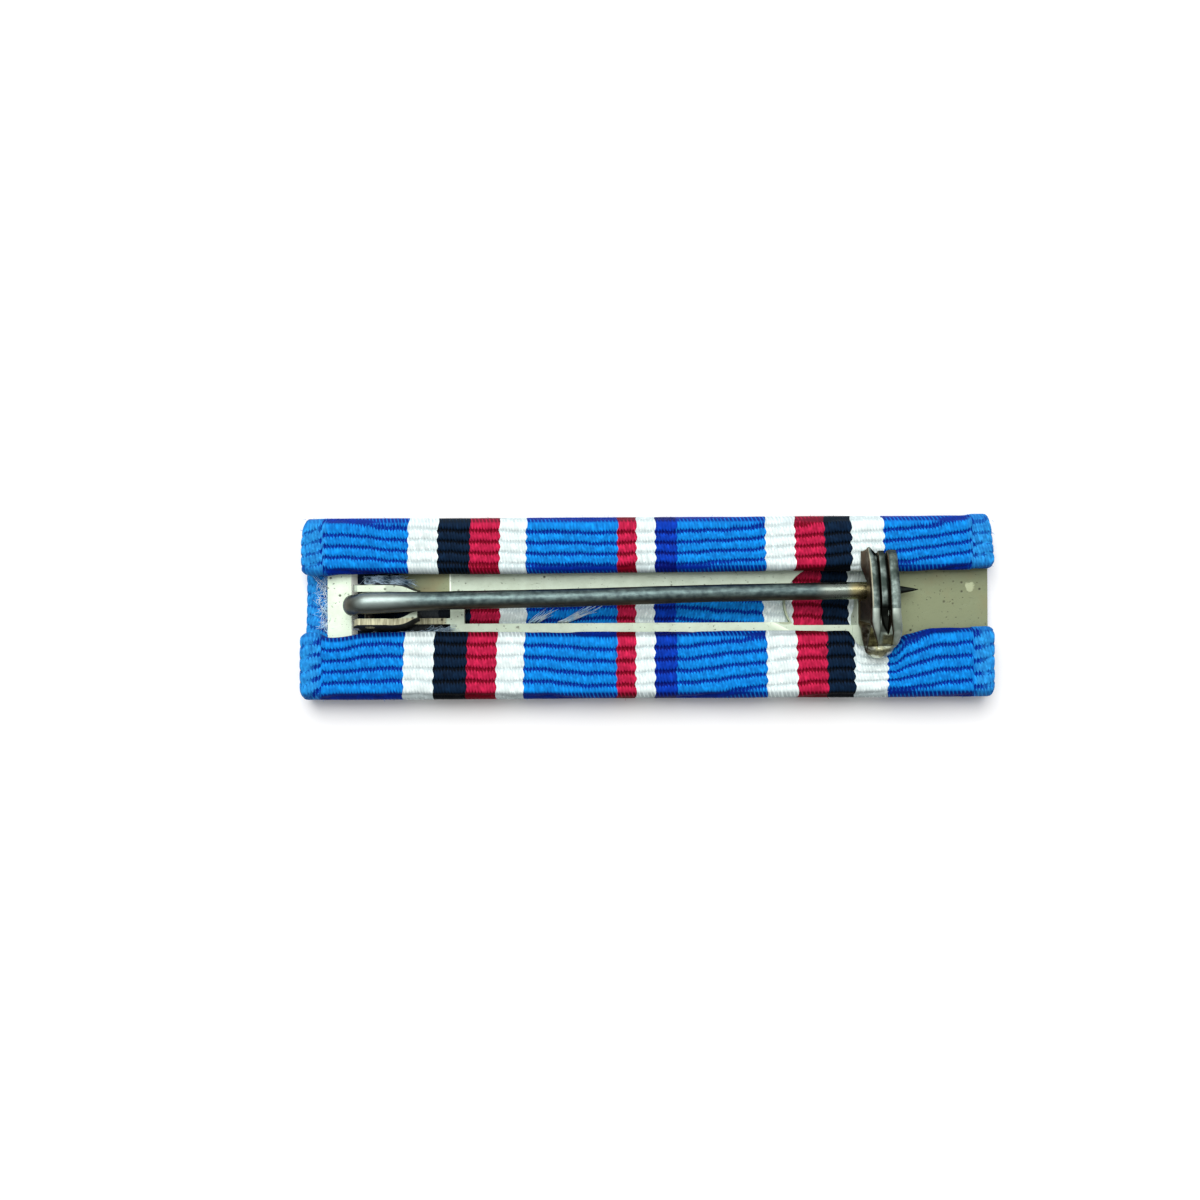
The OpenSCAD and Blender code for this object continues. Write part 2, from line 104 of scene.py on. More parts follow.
def facing(add):
    """The surface normal's x, y and z."""
    return add("SeparateXYZ", add("NewGeometry").node.outputs["Normal"]).node.outputs


def product(add, *factors):
    """Multiplies outputs, numbers and ramps. A ramp is (value, none, full), maybe with its
    interpolation: it goes from 0 where the value is none to 1 where it is full."""
    whole = None
    for factor in factors:
        if isinstance(factor, tuple):
            value, none, full, *way = factor
            factor = add("MapRange", value, none, full, interpolation_type=way[0] if way else "LINEAR")
        whole = factor if whole is None else add("Math MULTIPLY", whole, factor)
    return whole


def painted(add, colour, *layers):
    """Lays colours over one another. A layer is its colour and the factors of its share."""
    for over, *factors in layers:
        colour = add("Mix", product(add, *factors), colour, over, data_type="RGBA")
    return colour


# Meshes from arrays

def build_mesh(name, points, faces, layers=()):
    """A smooth mesh from an array of points in mm and a list of face arrays, each with 3 or 4
    columns. layers gives UV maps by name, one pair a point."""
    mesh = bpy.data.meshes.new(name)
    points = np.asarray(points, float) * MM
    mesh.vertices.add(len(points))
    mesh.vertices.foreach_set("co", points.astype(np.float32).ravel())
    corners = np.concatenate([f.ravel() for f in faces]).astype(np.int32)
    totals = np.concatenate([np.full(len(f), f.shape[1]) for f in faces]).astype(np.int32)
    mesh.loops.add(len(corners))
    mesh.loops.foreach_set("vertex_index", corners)
    mesh.polygons.add(len(totals))
    mesh.polygons.foreach_set("loop_start", np.concatenate([[0], np.cumsum(totals)[:-1]]).astype(np.int32))
    mesh.polygons.foreach_set("loop_total", totals)
    mesh.update(calc_edges=True)
    mesh.polygons.foreach_set("use_smooth", np.ones(len(totals), bool))
    for layer in layers:
        made = mesh.uv_layers.new(name=layer)
        made.data.foreach_set("uv", np.asarray(layers[layer], np.float32)[corners].ravel())
    mesh.validate()
    return mesh


def unit(vectors):
    """The vectors in the last axis, each made 1 long."""
    return vectors / np.linalg.norm(vectors, axis=-1, keepdims=True)


def ring_faces(rows, ring):
    """Quads between neighbouring rows of closed rings of points, facing outwards where the ring turns
    left about its travel."""
    i, k = np.meshgrid(np.arange(rows - 1), np.arange(ring), indexing="ij")
    a = i * ring + k
    b = i * ring + (k + 1) % ring
    return np.stack([a, b, b + ring, a + ring], -1).reshape(-1, 4)


def swept(path, rings):
    """Points and faces of a closed body: a ring of points for each point of the path, and a pole at
    each end."""
    rows, ring = rings.shape[:2]
    a = np.arange(ring)
    b = (a + 1) % ring
    far = (rows - 1) * ring
    points = np.concatenate([rings.reshape(-1, 3), path[:1], path[-1:]])
    pole = np.full(ring, rows * ring)
    ends = [np.stack([pole, b, a], -1), np.stack([pole + 1, far + a, far + b], -1)]
    return points, [ring_faces(rows, ring), *ends]


def tube(path, radius, wide, sides):
    """A round wire: at each point of the path a circle of its radius stands square to the path, drawn
    out along y by wide."""
    step = unit(np.gradient(path, axis=0))
    across = unit(np.cross(step, [0.0, 1.0, 0.0]))
    other = np.cross(step, across)
    t = np.linspace(0, 2 * np.pi, sides, endpoint=False)[None, :, None]
    circle = np.cos(t) * across[:, None] + wide[:, None, None] * np.sin(t) * other[:, None]
    return swept(path, path[:, None] + radius[:, None, None] * circle)


def fibres(root, run, side, rise, radius, steps=7):
    """Thin three-sided fibres, all at once, along root + run t + side t^2 with a hump of
    4 rise t (1 - t), tapering to a third."""
    t = np.linspace(0, 1, steps)[None, :, None]
    path = root[:, None] + run[:, None] * t + side[:, None] * t ** 2
    path[..., 2] += 4 * rise[:, None] * (t * (1 - t))[..., 0]
    step = unit(np.gradient(path, axis=1))
    # Any direction along which no fibre runs
    across = unit(np.cross(step, [0.31, 0.17, 0.93]))
    other = np.cross(step, across)
    a = np.radians([0, 120, 240])[None, None, :, None]
    r = (radius[:, None] * (1 - 0.67 * t[..., 0]))[..., None, None]
    rings = path[:, :, None] + r * (np.cos(a) * across[:, :, None] + np.sin(a) * other[:, :, None])
    first = (np.arange(len(root)) * steps * 3)[:, None, None]
    sides = (ring_faces(steps, 3)[None] + first).reshape(-1, 4)
    last = steps * 3
    ends = (np.array([[2, 1, 0], [last - 3, last - 2, last - 1]])[None] + first).reshape(-1, 3)
    return rings.reshape(-1, 3), [sides, ends]


def smooth_line(points, n):
    """n points on a curve through the given ones: between two of them it is the cubic that passes
    through them with the slopes of their neighbours."""
    p = np.asarray(points, float)
    q = np.vstack([2 * p[0] - p[1], p, 2 * p[-1] - p[-2]])
    t = np.linspace(0, len(p) - 1, n)
    i = np.minimum(t.astype(int), len(p) - 2)
    f = (t - i)[:, None]
    a, b, c, d = q[i], q[i + 1], q[i + 2], q[i + 3]
    cubic = (3 * b - a - 3 * c + d) * f ** 3
    return 0.5 * (2 * b + (c - a) * f + (2 * a - 5 * b + 4 * c - d) * f ** 2 + cubic)


def step_up(x, lo, hi):
    """0 below lo, 1 above hi, and the curve 3t^2 - 2t^3 between them."""
    t = np.clip((x - lo) / (hi - lo), 0, 1)
    return t * t * (3 - 2 * t)


def drawn(x, places, values, soft=0.6):
    """A line through values at places, rounded by averaging it over soft mm to either side."""
    return sum(np.interp(x + d, places, values) for d in np.linspace(-soft, soft, 7)) / 7


def place_piece(mesh, material, body, slot, *nodes):
    """Links a mesh as a piece at the origin, gives it its material, and lets it ride on a body and
    stand for CAD nodes."""
    piece = bpy.data.objects.new(mesh.name, mesh)
    bpy.context.scene.collection.objects.link(piece)
    mesh.materials.clear()
    mesh.materials.append(material)
    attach(piece, body)
    if nodes:
        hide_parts(*nodes)
    return piece


def copy_node(node, name):
    """A copy of a CAD node's mesh with its loose triangles merged."""
    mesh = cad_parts[node].data.copy()
    mesh.name = name
    work = bmesh.new()
    work.from_mesh(mesh)
    bmesh.ops.remove_doubles(work, verts=work.verts, dist=1e-7)
    flat = math.radians(0.5)
    bmesh.ops.dissolve_limit(work, angle_limit=flat, verts=work.verts, edges=work.edges)
    bmesh.ops.triangulate(work, faces=[f for f in work.faces if len(f.verts) > 4])
    work.to_mesh(mesh)
    work.free()
    return mesh


# Settings

def extent(name, text, mm):
    """A setting that is a length."""
    return FloatProperty(name=name, description=text, default=mm * MM, unit="LENGTH", precision=5)


def tint(name, text, code):
    """A setting that is a colour."""
    return FloatVectorProperty(
        name=name, description=text, default=linear(code), size=4, subtype="COLOR", min=0, max=1)


class RibbonSettings(bpy.types.PropertyGroup):
    length: extent("Length", "Length of the bar, which is the width of the ribbon", 34.9)
    height: extent("Height", "Height of the bar from fold to fold", 9.2)
    ply: extent("Ply", "Thickness of one ply without its ribs", 0.42)
    rib: extent("Rib", "Height of the ribs over the ply", 0.06)
    groove: extent("Groove", "Depth of the grooves under the ribs' crests", 0.12)
    pitch: extent("Rib pitch", "Distance from one rib to the next", 0.59)
    yarn: extent("Yarn pitch", "Distance from one warp yarn to the next", 0.15)
    selvedge: extent("Selvedge", "Width of the closer woven edge", 1.1)
    # Each yarn has a groove colour: its own colour darkened with painted shade, as it shows deep in the
    # grooves
    blue: tint("Blue", "The wide stripes' blue yarn", "0d88df")
    blue_groove: tint("Blue grooves", "The blue yarn deep in the grooves", "00258a")
    deep_blue: tint("Deep blue", "The middle stripe's darker blue yarn", "063db4")
    deep_blue_groove: tint("Deep blue grooves", "The darker blue deep in the grooves", "010e64")
    red: tint("Red", "The red yarn", "c3214b")
    red_groove: tint("Red grooves", "The red yarn deep in the grooves", "6e0018")
    navy: tint("Navy black", "The black yarn, a very dark navy", "0a2038")
    navy_groove: tint("Navy grooves", "The black yarn deep in the grooves", "00040c")
    white: tint("White", "The white yarn", "e9f5f3")
    white_groove: tint("White grooves", "The white yarn deep in the grooves", "cbdadb")


class PlateSettings(bpy.types.PropertyGroup):
    edge: extent("Edge rounding", "Rounding of the stamped sheet's edges", 0.035)
    pale: tint("Pale brass", "The clean sheet", "dcecd6")
    # The olive is painted shade, on the tab past the catch and on the ramp beside the hinge
    olive: tint("Olive tarnish", "The tarnish at the catch end and beside the hinge", "8d9673")
    pit: tint("Pits", "The small dark pits", "2f2c20")
    # The dark walls are painted shade
    dark: tint("Dark walls", "The blackened walls round the hinge", "12171c")


class PinSettings(bpy.types.PropertyGroup):
    wire: extent("Wire", "Diameter of the wire", 0.9)
    steel: tint("Dark steel", "The wire's worn dark surface", "3f4b4c")
    bright: tint("Worn steel", "Where the dark surface is rubbed off", "6b7e7c")
    brass: tint("Brassy end", "The yellowed stretch beside the catch", "a59c70")


class CatchSettings(bpy.types.PropertyGroup):
    steel: tint("Dark plating", "The leaf's dark plating", "4d5854")
    bright: tint("Rubbed metal", "The lower part of the leaf, rubbed bright", "aab6ac")
    # The browned sides are also darkened with painted shade
    brown: tint("Brown side", "The browned sides", "57493a")
    brass: tint("Brass bend", "The brass that shows at the bend", "9b9a7b")


class StageSettings(bpy.types.PropertyGroup):
    height: extent("Camera height", "Height of the camera over the ribbon's bands", 65.0)
    focal: FloatProperty(name="Focal length", description="In mm, on a 36 mm sensor", default=38.8)
    roll: FloatProperty(name="Roll", description="The camera's turn in degrees", default=0.29)
    floor: tint("Floor", "The pale floor", "f2f2f2")
    light: FloatProperty(name="Light", description="Strength of the lights", default=1.0, min=0)


# The ribbon

# The ribbon is a strip that is carried along a path in every cross-section: turned-under end,
# inner fold, upper band, outer fold, front, outer fold, lower band, inner fold, turned-under end.
# All lengths are in mm. Each stripe is a yarn and the x where it starts.
STRIPES = [
    ("blue", -17.6), ("white", -12.18), ("navy", -10.65), ("red", -9.11), ("white", -7.61),
    ("blue", -6.17), ("red", -1.6), ("white", -0.6), ("deep_blue", 0.37), ("blue", 1.47),
    ("white", 5.9), ("red", 7.38), ("navy", 8.9), ("white", 10.35), ("blue", 11.92),
]
# The inner folds' height and radius, the outer folds' radius, the round corners, the bands' inner
# edges, the length turned under, and the catch's place
BACK_Z = 1.36
TURN_R = 0.23
FOLD_R = 0.28
CORNER = 0.2
UPPER = 1.75
LOWER = -1.2
UNDER = 1.6
HOOK_X = 11.58
# The stripes spread by this share of x for each mm of y
TAPER = 0.0025
# The height of the bands' surface
BAND_TOP = 1.82
# Places along the bar, and how far each band's inner edge wanders there
UPPER_EDGE = (
    [-17.4, -16.9, -16.3, -15.7, -13, -8.7, -2, 3, 8, 11, 13.5, 17.2],
    [0.0, -0.1, -0.1, 0.0, 0.0, -0.02, 0.02, 0.04, 0.05, 0.04, 0.02, 0.12])
LOWER_EDGE = (
    [-17.4, -16.9, -16.55, -16.1, -15.6, -15, -14.5, -14, -12.4, -9.9, -6, 0, 6, 9.5, 13.3, 17.2],
    [0.04, 0.08, 0.0, -0.2, -0.2, -0.12, -0.03, 0.03, 0.06, 0.06, 0.02, 0, 0.02, 0.02, 0.06, 0.2])
# How far the ribs wander along the bar, in ribs, on the upper and on the lower band
WANDER_X = [-17.4, -16.9, -15.5, -14.5, -13.1, -9.0, -4.9, -2.8, 2.1, 4.9, 8.2, 13.0, 14.2, 15.5, 17.4]
UPPER_WANDER = [
    -1.0, -0.96, -0.77, -0.69, -0.38, -0.14, 0.02, 0.1, 0.04, -0.22, -0.57, -1.1, -1.34, -1.73, -2.04]
LOWER_WANDER = [
    -0.1, -0.15, -0.24, -0.33, -0.35, -0.3, -0.24, 0.14, -0.08, -0.6, -1.07, -1.52, -1.87, -2.06, -2.2]
# Two grooves of each band, and how many ribs lie between them, in the middle of the bar
UPPER_RIBS = (2.21, 3.84, 3)
LOWER_RIBS = (-3.844, -2.01, 3)
# Which stretches of the strip, counted from 0, are the bands, the sides and the last outer fold
UPPER_BAND, UPPER_SIDE, LOWER_SIDE, LOWER_FOLD, LOWER_BAND = 2, 4, 8, 9, 10


def band_edges(x, s):
    """Where the bands' inner edges lie along the bar, with the slow wander of each edge, the round
    corners, and the dent that the hook presses into the lower band."""
    half = s.length / 2 / MM
    over = np.clip(np.abs(x) - (half - CORNER), 0, CORNER)
    cut = CORNER - np.sqrt(CORNER ** 2 - over ** 2)
    upper = UPPER + drawn(x, *UPPER_EDGE, 0.25)
    lower = LOWER + drawn(x, *LOWER_EDGE, 0.2)
    past = x - HOOK_X
    eased = (1 - 0.65 * step_up(past, 0.75, 1.5)) * (1 - step_up(past, 1.3, 2.9))
    return cut, upper, lower - 0.8 * step_up(past, -1.5, -0.82) * eased


def ribbon_rows(x, s, band, front, hidden):
    """The ribbon's middle surface for each x: rows of y, z and the outward normal, with the length
    along the strip at each row. Runs are a + (b - a) t and folds are c + r (cos t, sin t). band,
    front and hidden are the gaps between rows."""
    ply, rib = s.ply / MM, s.rib / MM
    cut, upper, lower = band_edges(x, s)
    out = rib + ply / 2
    outer = s.height / 2 / MM - out
    # The upper fold stands out a little at the right end
    t, b = outer - cut + 0.09 * step_up(x, 15.9, 16.6), -outer + cut
    high, low = upper + TURN_R + out, lower - TURN_R - out
    front_z, over_z, under_z = out, BACK_Z + TURN_R, BACK_Z - TURN_R
    # The turned-under ends stop short of the outer folds
    room = ply / 2 + 0.12
    high_end, low_end = np.minimum(high + UNDER, t - room), np.maximum(low - UNDER, b + room)
    one = np.ones_like(x)[:, None]
    parts = []

    def run(a, c, nominal, gap):
        n = max(2, round(nominal / gap))
        f = np.arange(n) / n
        y = a[0][:, None] + (c[0] - a[0])[:, None] * f
        z = one * (a[1] + (c[1] - a[1]) * f)
        d = unit(np.stack([c[0] - a[0], (c[1] - a[1]) * one[:, 0]], -1))
        parts.append((y, z, np.repeat(-d[:, 1:], n, 1), np.repeat(d[:, :1], n, 1), nominal * f, nominal))

    def fold(cy, cz, r, start, end, gap):
        nominal = abs(end - start) * math.pi / 180 * r
        n = max(5, round(nominal / gap))
        f = np.arange(n) / n
        a = np.radians(start + (end - start) * f)
        parts.append((cy[:, None] + r * np.cos(a), one * (cz + r * np.sin(a)),
                      one * np.cos(a), one * np.sin(a), nominal * f, nominal))

    side = over_z - front_z - 2 * FOLD_R
    top_z, bottom_z = over_z - FOLD_R, front_z + FOLD_R
    turned, round_end = band * 0.45, band * 0.6
    run((high_end, under_z), (high, under_z), UNDER, hidden)
    fold(high, BACK_Z, TURN_R, 270, 90, turned)
    run((high, over_z), (t - FOLD_R, over_z), outer - FOLD_R - (UPPER + TURN_R + out), band)
    fold(t - FOLD_R, top_z, FOLD_R, 90, 0, round_end)
    run((t, top_z), (t, bottom_z), side, band)
    fold(t - FOLD_R, bottom_z, FOLD_R, 0, -90, round_end)
    run((t - FOLD_R, front_z), (b + FOLD_R, front_z), 2 * (outer - FOLD_R), front)
    fold(b + FOLD_R, bottom_z, FOLD_R, 270, 180, round_end)
    run((b, bottom_z), (b, top_z), side, band)
    fold(b + FOLD_R, top_z, FOLD_R, 180, 90, round_end)
    run((b + FOLD_R, over_z), (low, over_z), (LOWER - TURN_R - out) + outer - FOLD_R, band)
    fold(low, BACK_Z, TURN_R, 90, -90, turned)
    run((low, under_z), (low_end, under_z), UNDER, hidden)
    parts.append((low_end[:, None], under_z * one, 0 * one, -one, np.zeros(1), 0.0))
    starts = np.cumsum([0.0] + [p[5] for p in parts[:-1]])
    y, z, ny, nz = (np.concatenate([p[i] for p in parts], 1) for i in range(4))
    v = np.concatenate([p[4] + start for p, start in zip(parts, starts)])
    return y, z, ny, nz, v, starts


def rib_phase(x, v, starts, s):
    """How many ribs lie between the ribbon's end and a point: length over pitch, fitted so that the
    grooves fall where they show on each band, plus the wander of the ribs along the bar."""
    out = (s.rib + s.ply / 2) / MM
    pitch = s.pitch / MM
    upper = [starts[UPPER_BAND] + (y - (UPPER + TURN_R + out)) for y in UPPER_RIBS[:2]]
    lower = [starts[LOWER_BAND] + (y + s.height / 2 / MM - out - FOLD_R) for y in LOWER_RIBS[:2]]
    between = round((lower[0] - upper[1]) / pitch)
    ribs = round(upper[0] / pitch) + 3 + np.cumsum([0, UPPER_RIBS[2], between, LOWER_RIBS[2]])
    knots = [0.0, *upper, *lower, starts[-1]]
    ends = ribs[0] - upper[0] / pitch, ribs[3] + (starts[-1] - lower[1]) / pitch
    base = np.interp(v, knots, [ends[0], *ribs, ends[1]])
    share = step_up(v, starts[UPPER_SIDE], starts[LOWER_FOLD])
    x = x[:, None]
    slow = (1 - share) * drawn(x, WANDER_X, UPPER_WANDER) + share * drawn(x, WANDER_X, LOWER_WANDER)
    wave = 0.035 * np.sin(x / 0.55 + 1.7 * v) + 0.03 * np.sin(x / 0.21 + 0.6 * v)
    return base + slow + wave


def rib_arch(phase):
    """The ribs' cross-section, from 0 in the groove to 1 on the crest: (1 - |2f - 1|^3)^0.6, f being
    the share of the pitch."""
    f = phase - np.floor(phase)
    return np.clip(1 - np.abs(2 * f - 1) ** 3, 0, 1) ** 0.6


def ribbon_strip(s):
    """The wound strip as one closed surface. Outside, the middle surface plus the normal times (half
    a ply + rib - groove (1 - arch)); inside the same without the rib. Both edges are rounded off in
    thickness, and each rib's end stands out a little."""
    half = s.length / 2 / MM
    ply, rib, groove = s.ply / MM, s.rib / MM, s.groove / MM
    # Columns of points stand close together at the two edges
    inset = [0, 0.015, 0.05, 0.1, 0.18, 0.28, 0.42, 0.6, 0.8, 0.94, 1.0, 1.06, 1.12, 1.18, 1.26]
    edge = half - np.array(inset)
    x = np.concatenate([-edge, np.linspace(-half + 1.4, half - 1.4, 176), edge[::-1]])
    yo, zo, nyo, nzo, vo, starts = ribbon_rows(x, s, band=0.072, front=0.1, hidden=0.3)
    yi, zi, nyi, nzi, vi, _ = ribbon_rows(x, s, band=0.26, front=0.08, hidden=0.4)
    column = x[:, None]

    def thickness(y, v, full, depth):
        # In the selvedge the ribs are set off by half a rib, sloping, and flatter
        inward = np.clip(np.abs(column) - half + s.selvedge / MM, 0, 1)
        plain = np.clip(inward / 0.03, 0, 1)
        phase = rib_phase(x, v, starts, s) + 0.48 * plain + np.where(column < 0, 0.55, -0.12) * inward
        arch = rib_arch(phase)
        arch = arch + plain * (0.25 - 0.35 * arch)
        thin = 1 - 0.6 * (1 - np.clip((half - np.abs(column)) / 0.3, 0, 1)) ** 2.2
        out = 0.1 * (arch - 0.7) * step_up(np.abs(column), half - 0.5, half) * np.sign(column)
        # The ends slant in towards the upper fold
        slant = (0.12 * step_up(y, 3.2, 4.4) * step_up(-column, half - 1, half)
                 - 0.19 * np.clip((y - 2.5) / 1.9, 0, 1) * step_up(column, half - 1.6, half))
        across = column + out + slant + step_up(-y, -1.0, 3.0) * (0.003 * column - 0.05)
        return across, (full - depth * (1 - arch)) * thin, phase

    xo, ho, po = thickness(yo, vo, ply / 2 + rib, groove)
    xi, hi, pi = thickness(yi, vi, ply / 2, 0.8 * groove)
    outer = np.stack([xo, yo + nyo * ho, zo + nzo * ho], -1)
    inside = np.stack([xi, yi - nyi * hi, zi - nzi * hi], -1)[:, ::-1]
    rings = np.concatenate([outer, inside], 1)
    rows, ring = rings.shape[:2]
    u = np.concatenate([column * (1 + TAPER * yo), (column * (1 + TAPER * yi))[:, ::-1]], 1)
    phase = np.concatenate([po, pi[:, ::-1]], 1)
    # How far a row lies on a fold, 0 on the flat and 1 where it turns down; the material paints shade on the
    # folds by it
    wide = (vo < starts[UPPER_BAND]) | ((vo > starts[LOWER_SIDE]) & (vo < starts[LOWER_BAND]))
    fold = 1 - step_up(np.abs(nzo), np.where(wide, 0.9, 0.8), np.where(wide, 0.985, 0.96))
    fold = np.concatenate([fold, 0 * yi], 1).ravel()
    # Each end of the strip is closed by triangles between its outer and its inner edge, taken in
    # the order in which their rows come along the strip
    n = len(vo) - 1
    is_outer = np.argsort(np.concatenate([vo[1:], vi[1:] + 1e-9]), kind="stable") < n
    a = np.concatenate([[0], np.cumsum(is_outer)[:-1]])
    c = np.concatenate([[0], np.cumsum(~is_outer)[:-1]])
    caps = np.stack([a, np.where(is_outer, a + 1, ring - 2 - c), ring - 1 - c], -1)
    faces = [ring_faces(rows, ring), caps[:, ::-1], caps + (rows - 1) * ring]
    layers = {"weave": np.stack([u.ravel(), phase.ravel()], -1), "fold": np.stack([fold, 0 * fold], -1)}
    return rings.reshape(-1, 3), faces, layers, starts[-1]


def ribbon_material(s):
    """Grosgrain of fine bright yarn over thick weft: each rib is a row of fine upright yarns, each groove is
    painted with shade in the yarn's groove colour and shows slanted ticks. The folds and the front ply under
    the hinge take painted shade, and the crests painted gleams. A soft sheen, no gloss."""
    made, add = new_material("woven_grosgrain")
    width = s.length / MM
    across, along, _ = add("SeparateXYZ", add("UVMap", uv_map="weave")).node.outputs
    place = add("CombineXYZ", across, along)
    spot = add("Math FRACT", along)
    row = add("Math FLOOR", along)
    # Yarns lean within each rib and are set off by a part of a yarn from rib to rib
    shifted = add("Math MULTIPLY", row, 0.37)
    slanted = add("Math MULTIPLY_ADD", spot, 0.8, shifted)
    slanted = add("Math MULTIPLY_ADD", across, MM / s.yarn, slanted)
    # Height across a yarn, 1 on its middle: 1 - (2f - 1)^2
    even = add("Math MULTIPLY_ADD", add("Math FRACT", slanted), 2.0, -1.0)
    crown = add("Math SUBTRACT", 1.0, add("Math MULTIPLY", even, even))
    yarn = add("CombineXYZ", add("Math FLOOR", slanted), row)
    uneven = add("TexWhiteNoise", yarn, noise_dimensions="2D")
    # In the selvedge the grooves are broken, and widest at their inner ends
    reach = add("Math ABSOLUTE", across)
    inward = width / 2 - s.selvedge / MM
    selvedge = add("MapRange", reach, inward - 0.15, inward + 0.1)
    inner = add("MapRange", reach, width / 2 - 0.5, width / 2 - 0.85)
    patch = add("TexNoise", place, Scale=2.6, Detail=2.0)
    patch = add("MapRange", patch, 0.42, 0.54, 0.12, 0.8, interpolation_type=SMOOTH)
    patch = add("Mix", selvedge, 1.0, add("Math MAXIMUM", patch, inner))
    # The groove reaches less far in on the yarns' crowns, so its edges are toothed
    off = add("Math ABSOLUTE", add("Math SUBTRACT", spot, 0.5))
    toothed = off
    for tooth, depth in ((crown, -0.2), (uneven, -0.08), (product(add, selvedge, inner), 0.02)):
        toothed = add("Math MULTIPLY_ADD", tooth, depth, toothed)
    # Slanted ticks of lighter yarn stand in the grooves, one every 0.19 mm
    tick = add("Math MULTIPLY_ADD", spot, 1.6, shifted)
    tick = add("Math FRACT", add("Math MULTIPLY_ADD", across, 1 / 0.19, tick))
    tick = add("Math ABSOLUTE", add("Math SUBTRACT", tick, 0.5))
    beside = add("MapRange", tick, 0.2, 0.05, 1.0, 0.66, interpolation_type=SMOOTH)
    groove = product(add, (toothed, 0.1, 0.195, SMOOTH), patch, beside)
    # Between the yarns the crests take painted shade too, and short slanted streaks of random tone deepen
    # them; where the streaks are lightest, painted gleams lift the crests
    streak = add("CombineXYZ", slanted, add("Math MULTIPLY", along, 2.4))
    streak = add("TexNoise", streak, Scale=0.8, Detail=3.0)
    painted_gleam = add("MapRange", streak, 0.46, 0.3, 0.0, 0.33)
    streak = add("MapRange", streak, 0.4, 0.75, 0.1, 0.65)
    streak = add("Math MULTIPLY_ADD", crown, -0.14, streak)
    deep = add("Math MAXIMUM", groove, streak)
    # Painted shade darkens the folds towards the groove colour, broken by light dashes
    fold = add("SeparateXYZ", add("UVMap", uv_map="fold"))
    dash = product(add, (tick, 0.24, 0.08, SMOOTH), (off, 0.34, 0.22, SMOOTH), 0.6)
    dash = add("Math SUBTRACT", 1.0, dash)
    fold = product(add, fold, dash, add("Math MULTIPLY_ADD", selvedge, -0.5, 1.0))
    deep = add("Clamp", add("Math MAXIMUM", deep, fold))
    # The stripes' edges swing out and back once a rib, by 0.04 mm, and as much from yarn to yarn
    placed = across
    for swing in (add("Math COSINE", add("Math MULTIPLY", spot, 2 * math.pi)), uneven):
        placed = add("Math MULTIPLY_ADD", swing, 0.04, placed)
    placed = add("Math MULTIPLY_ADD", placed, 1 / width, 0.5)
    yarns = []
    for kind in ("", "_groove"):
        stripe = add("ValToRGB", placed)
        bands = stripe.node.color_ramp
        bands.interpolation = "CONSTANT"
        while len(bands.elements) < len(STRIPES):
            bands.elements.new(0.5)
        for element, (name, start) in zip(bands.elements, STRIPES):
            element.position = max(0.0, start / width + 0.5)
            element.color = getattr(s, name + kind)
        yarns.append(stripe)
    # The selvedge's yarn is a little lighter
    colour = painted(add, yarns[0], ("4cb4e4", selvedge, 0.26), (yarns[1], deep))
    cloud = add("Math MULTIPLY_ADD", add("TexNoise", place, Scale=1.1, Detail=4.0), 0.5, 0.7)
    cloud = add("Math ADD", painted_gleam, cloud)
    # Painted shade makes the lower folds darker still; the upper folds are greyed
    _, x, y, z = object_mm(add)
    low = add("Math MULTIPLY_ADD", add("MapRange", y, -1.0, -1.3, 0.0, -0.3), fold, cloud)
    colour = add("Mix", 1.0, colour, low, data_type="RGBA", blend_type="MULTIPLY")
    aside = add("Math ABSOLUTE", y)
    # Painted shade darkens the front ply under the hinge
    hinge_shade = ((z, 0.75, 0.65), (z, 0.2, 0.3), (x, -9.9, -10.0), (x, -15.2, -15.0), (aside, 2.7, 2.5), 0.96)
    colour = painted(add, colour, ("5b7c9c", (y, 3.0, 4.0), fold, 0.05), ("10161c", *hinge_shade))
    height = add("Math MULTIPLY_ADD", uneven, 0.35, crown)
    bump = add("Bump", Strength=0.8, Distance=0.02 * MM, Height=height)
    shade(add, colour, Roughness=0.6, Specular_IOR_Level=0.05, Sheen_Weight=0.02,
          Sheen_Roughness=0.4, Normal=bump)
    return made


# Loose threads

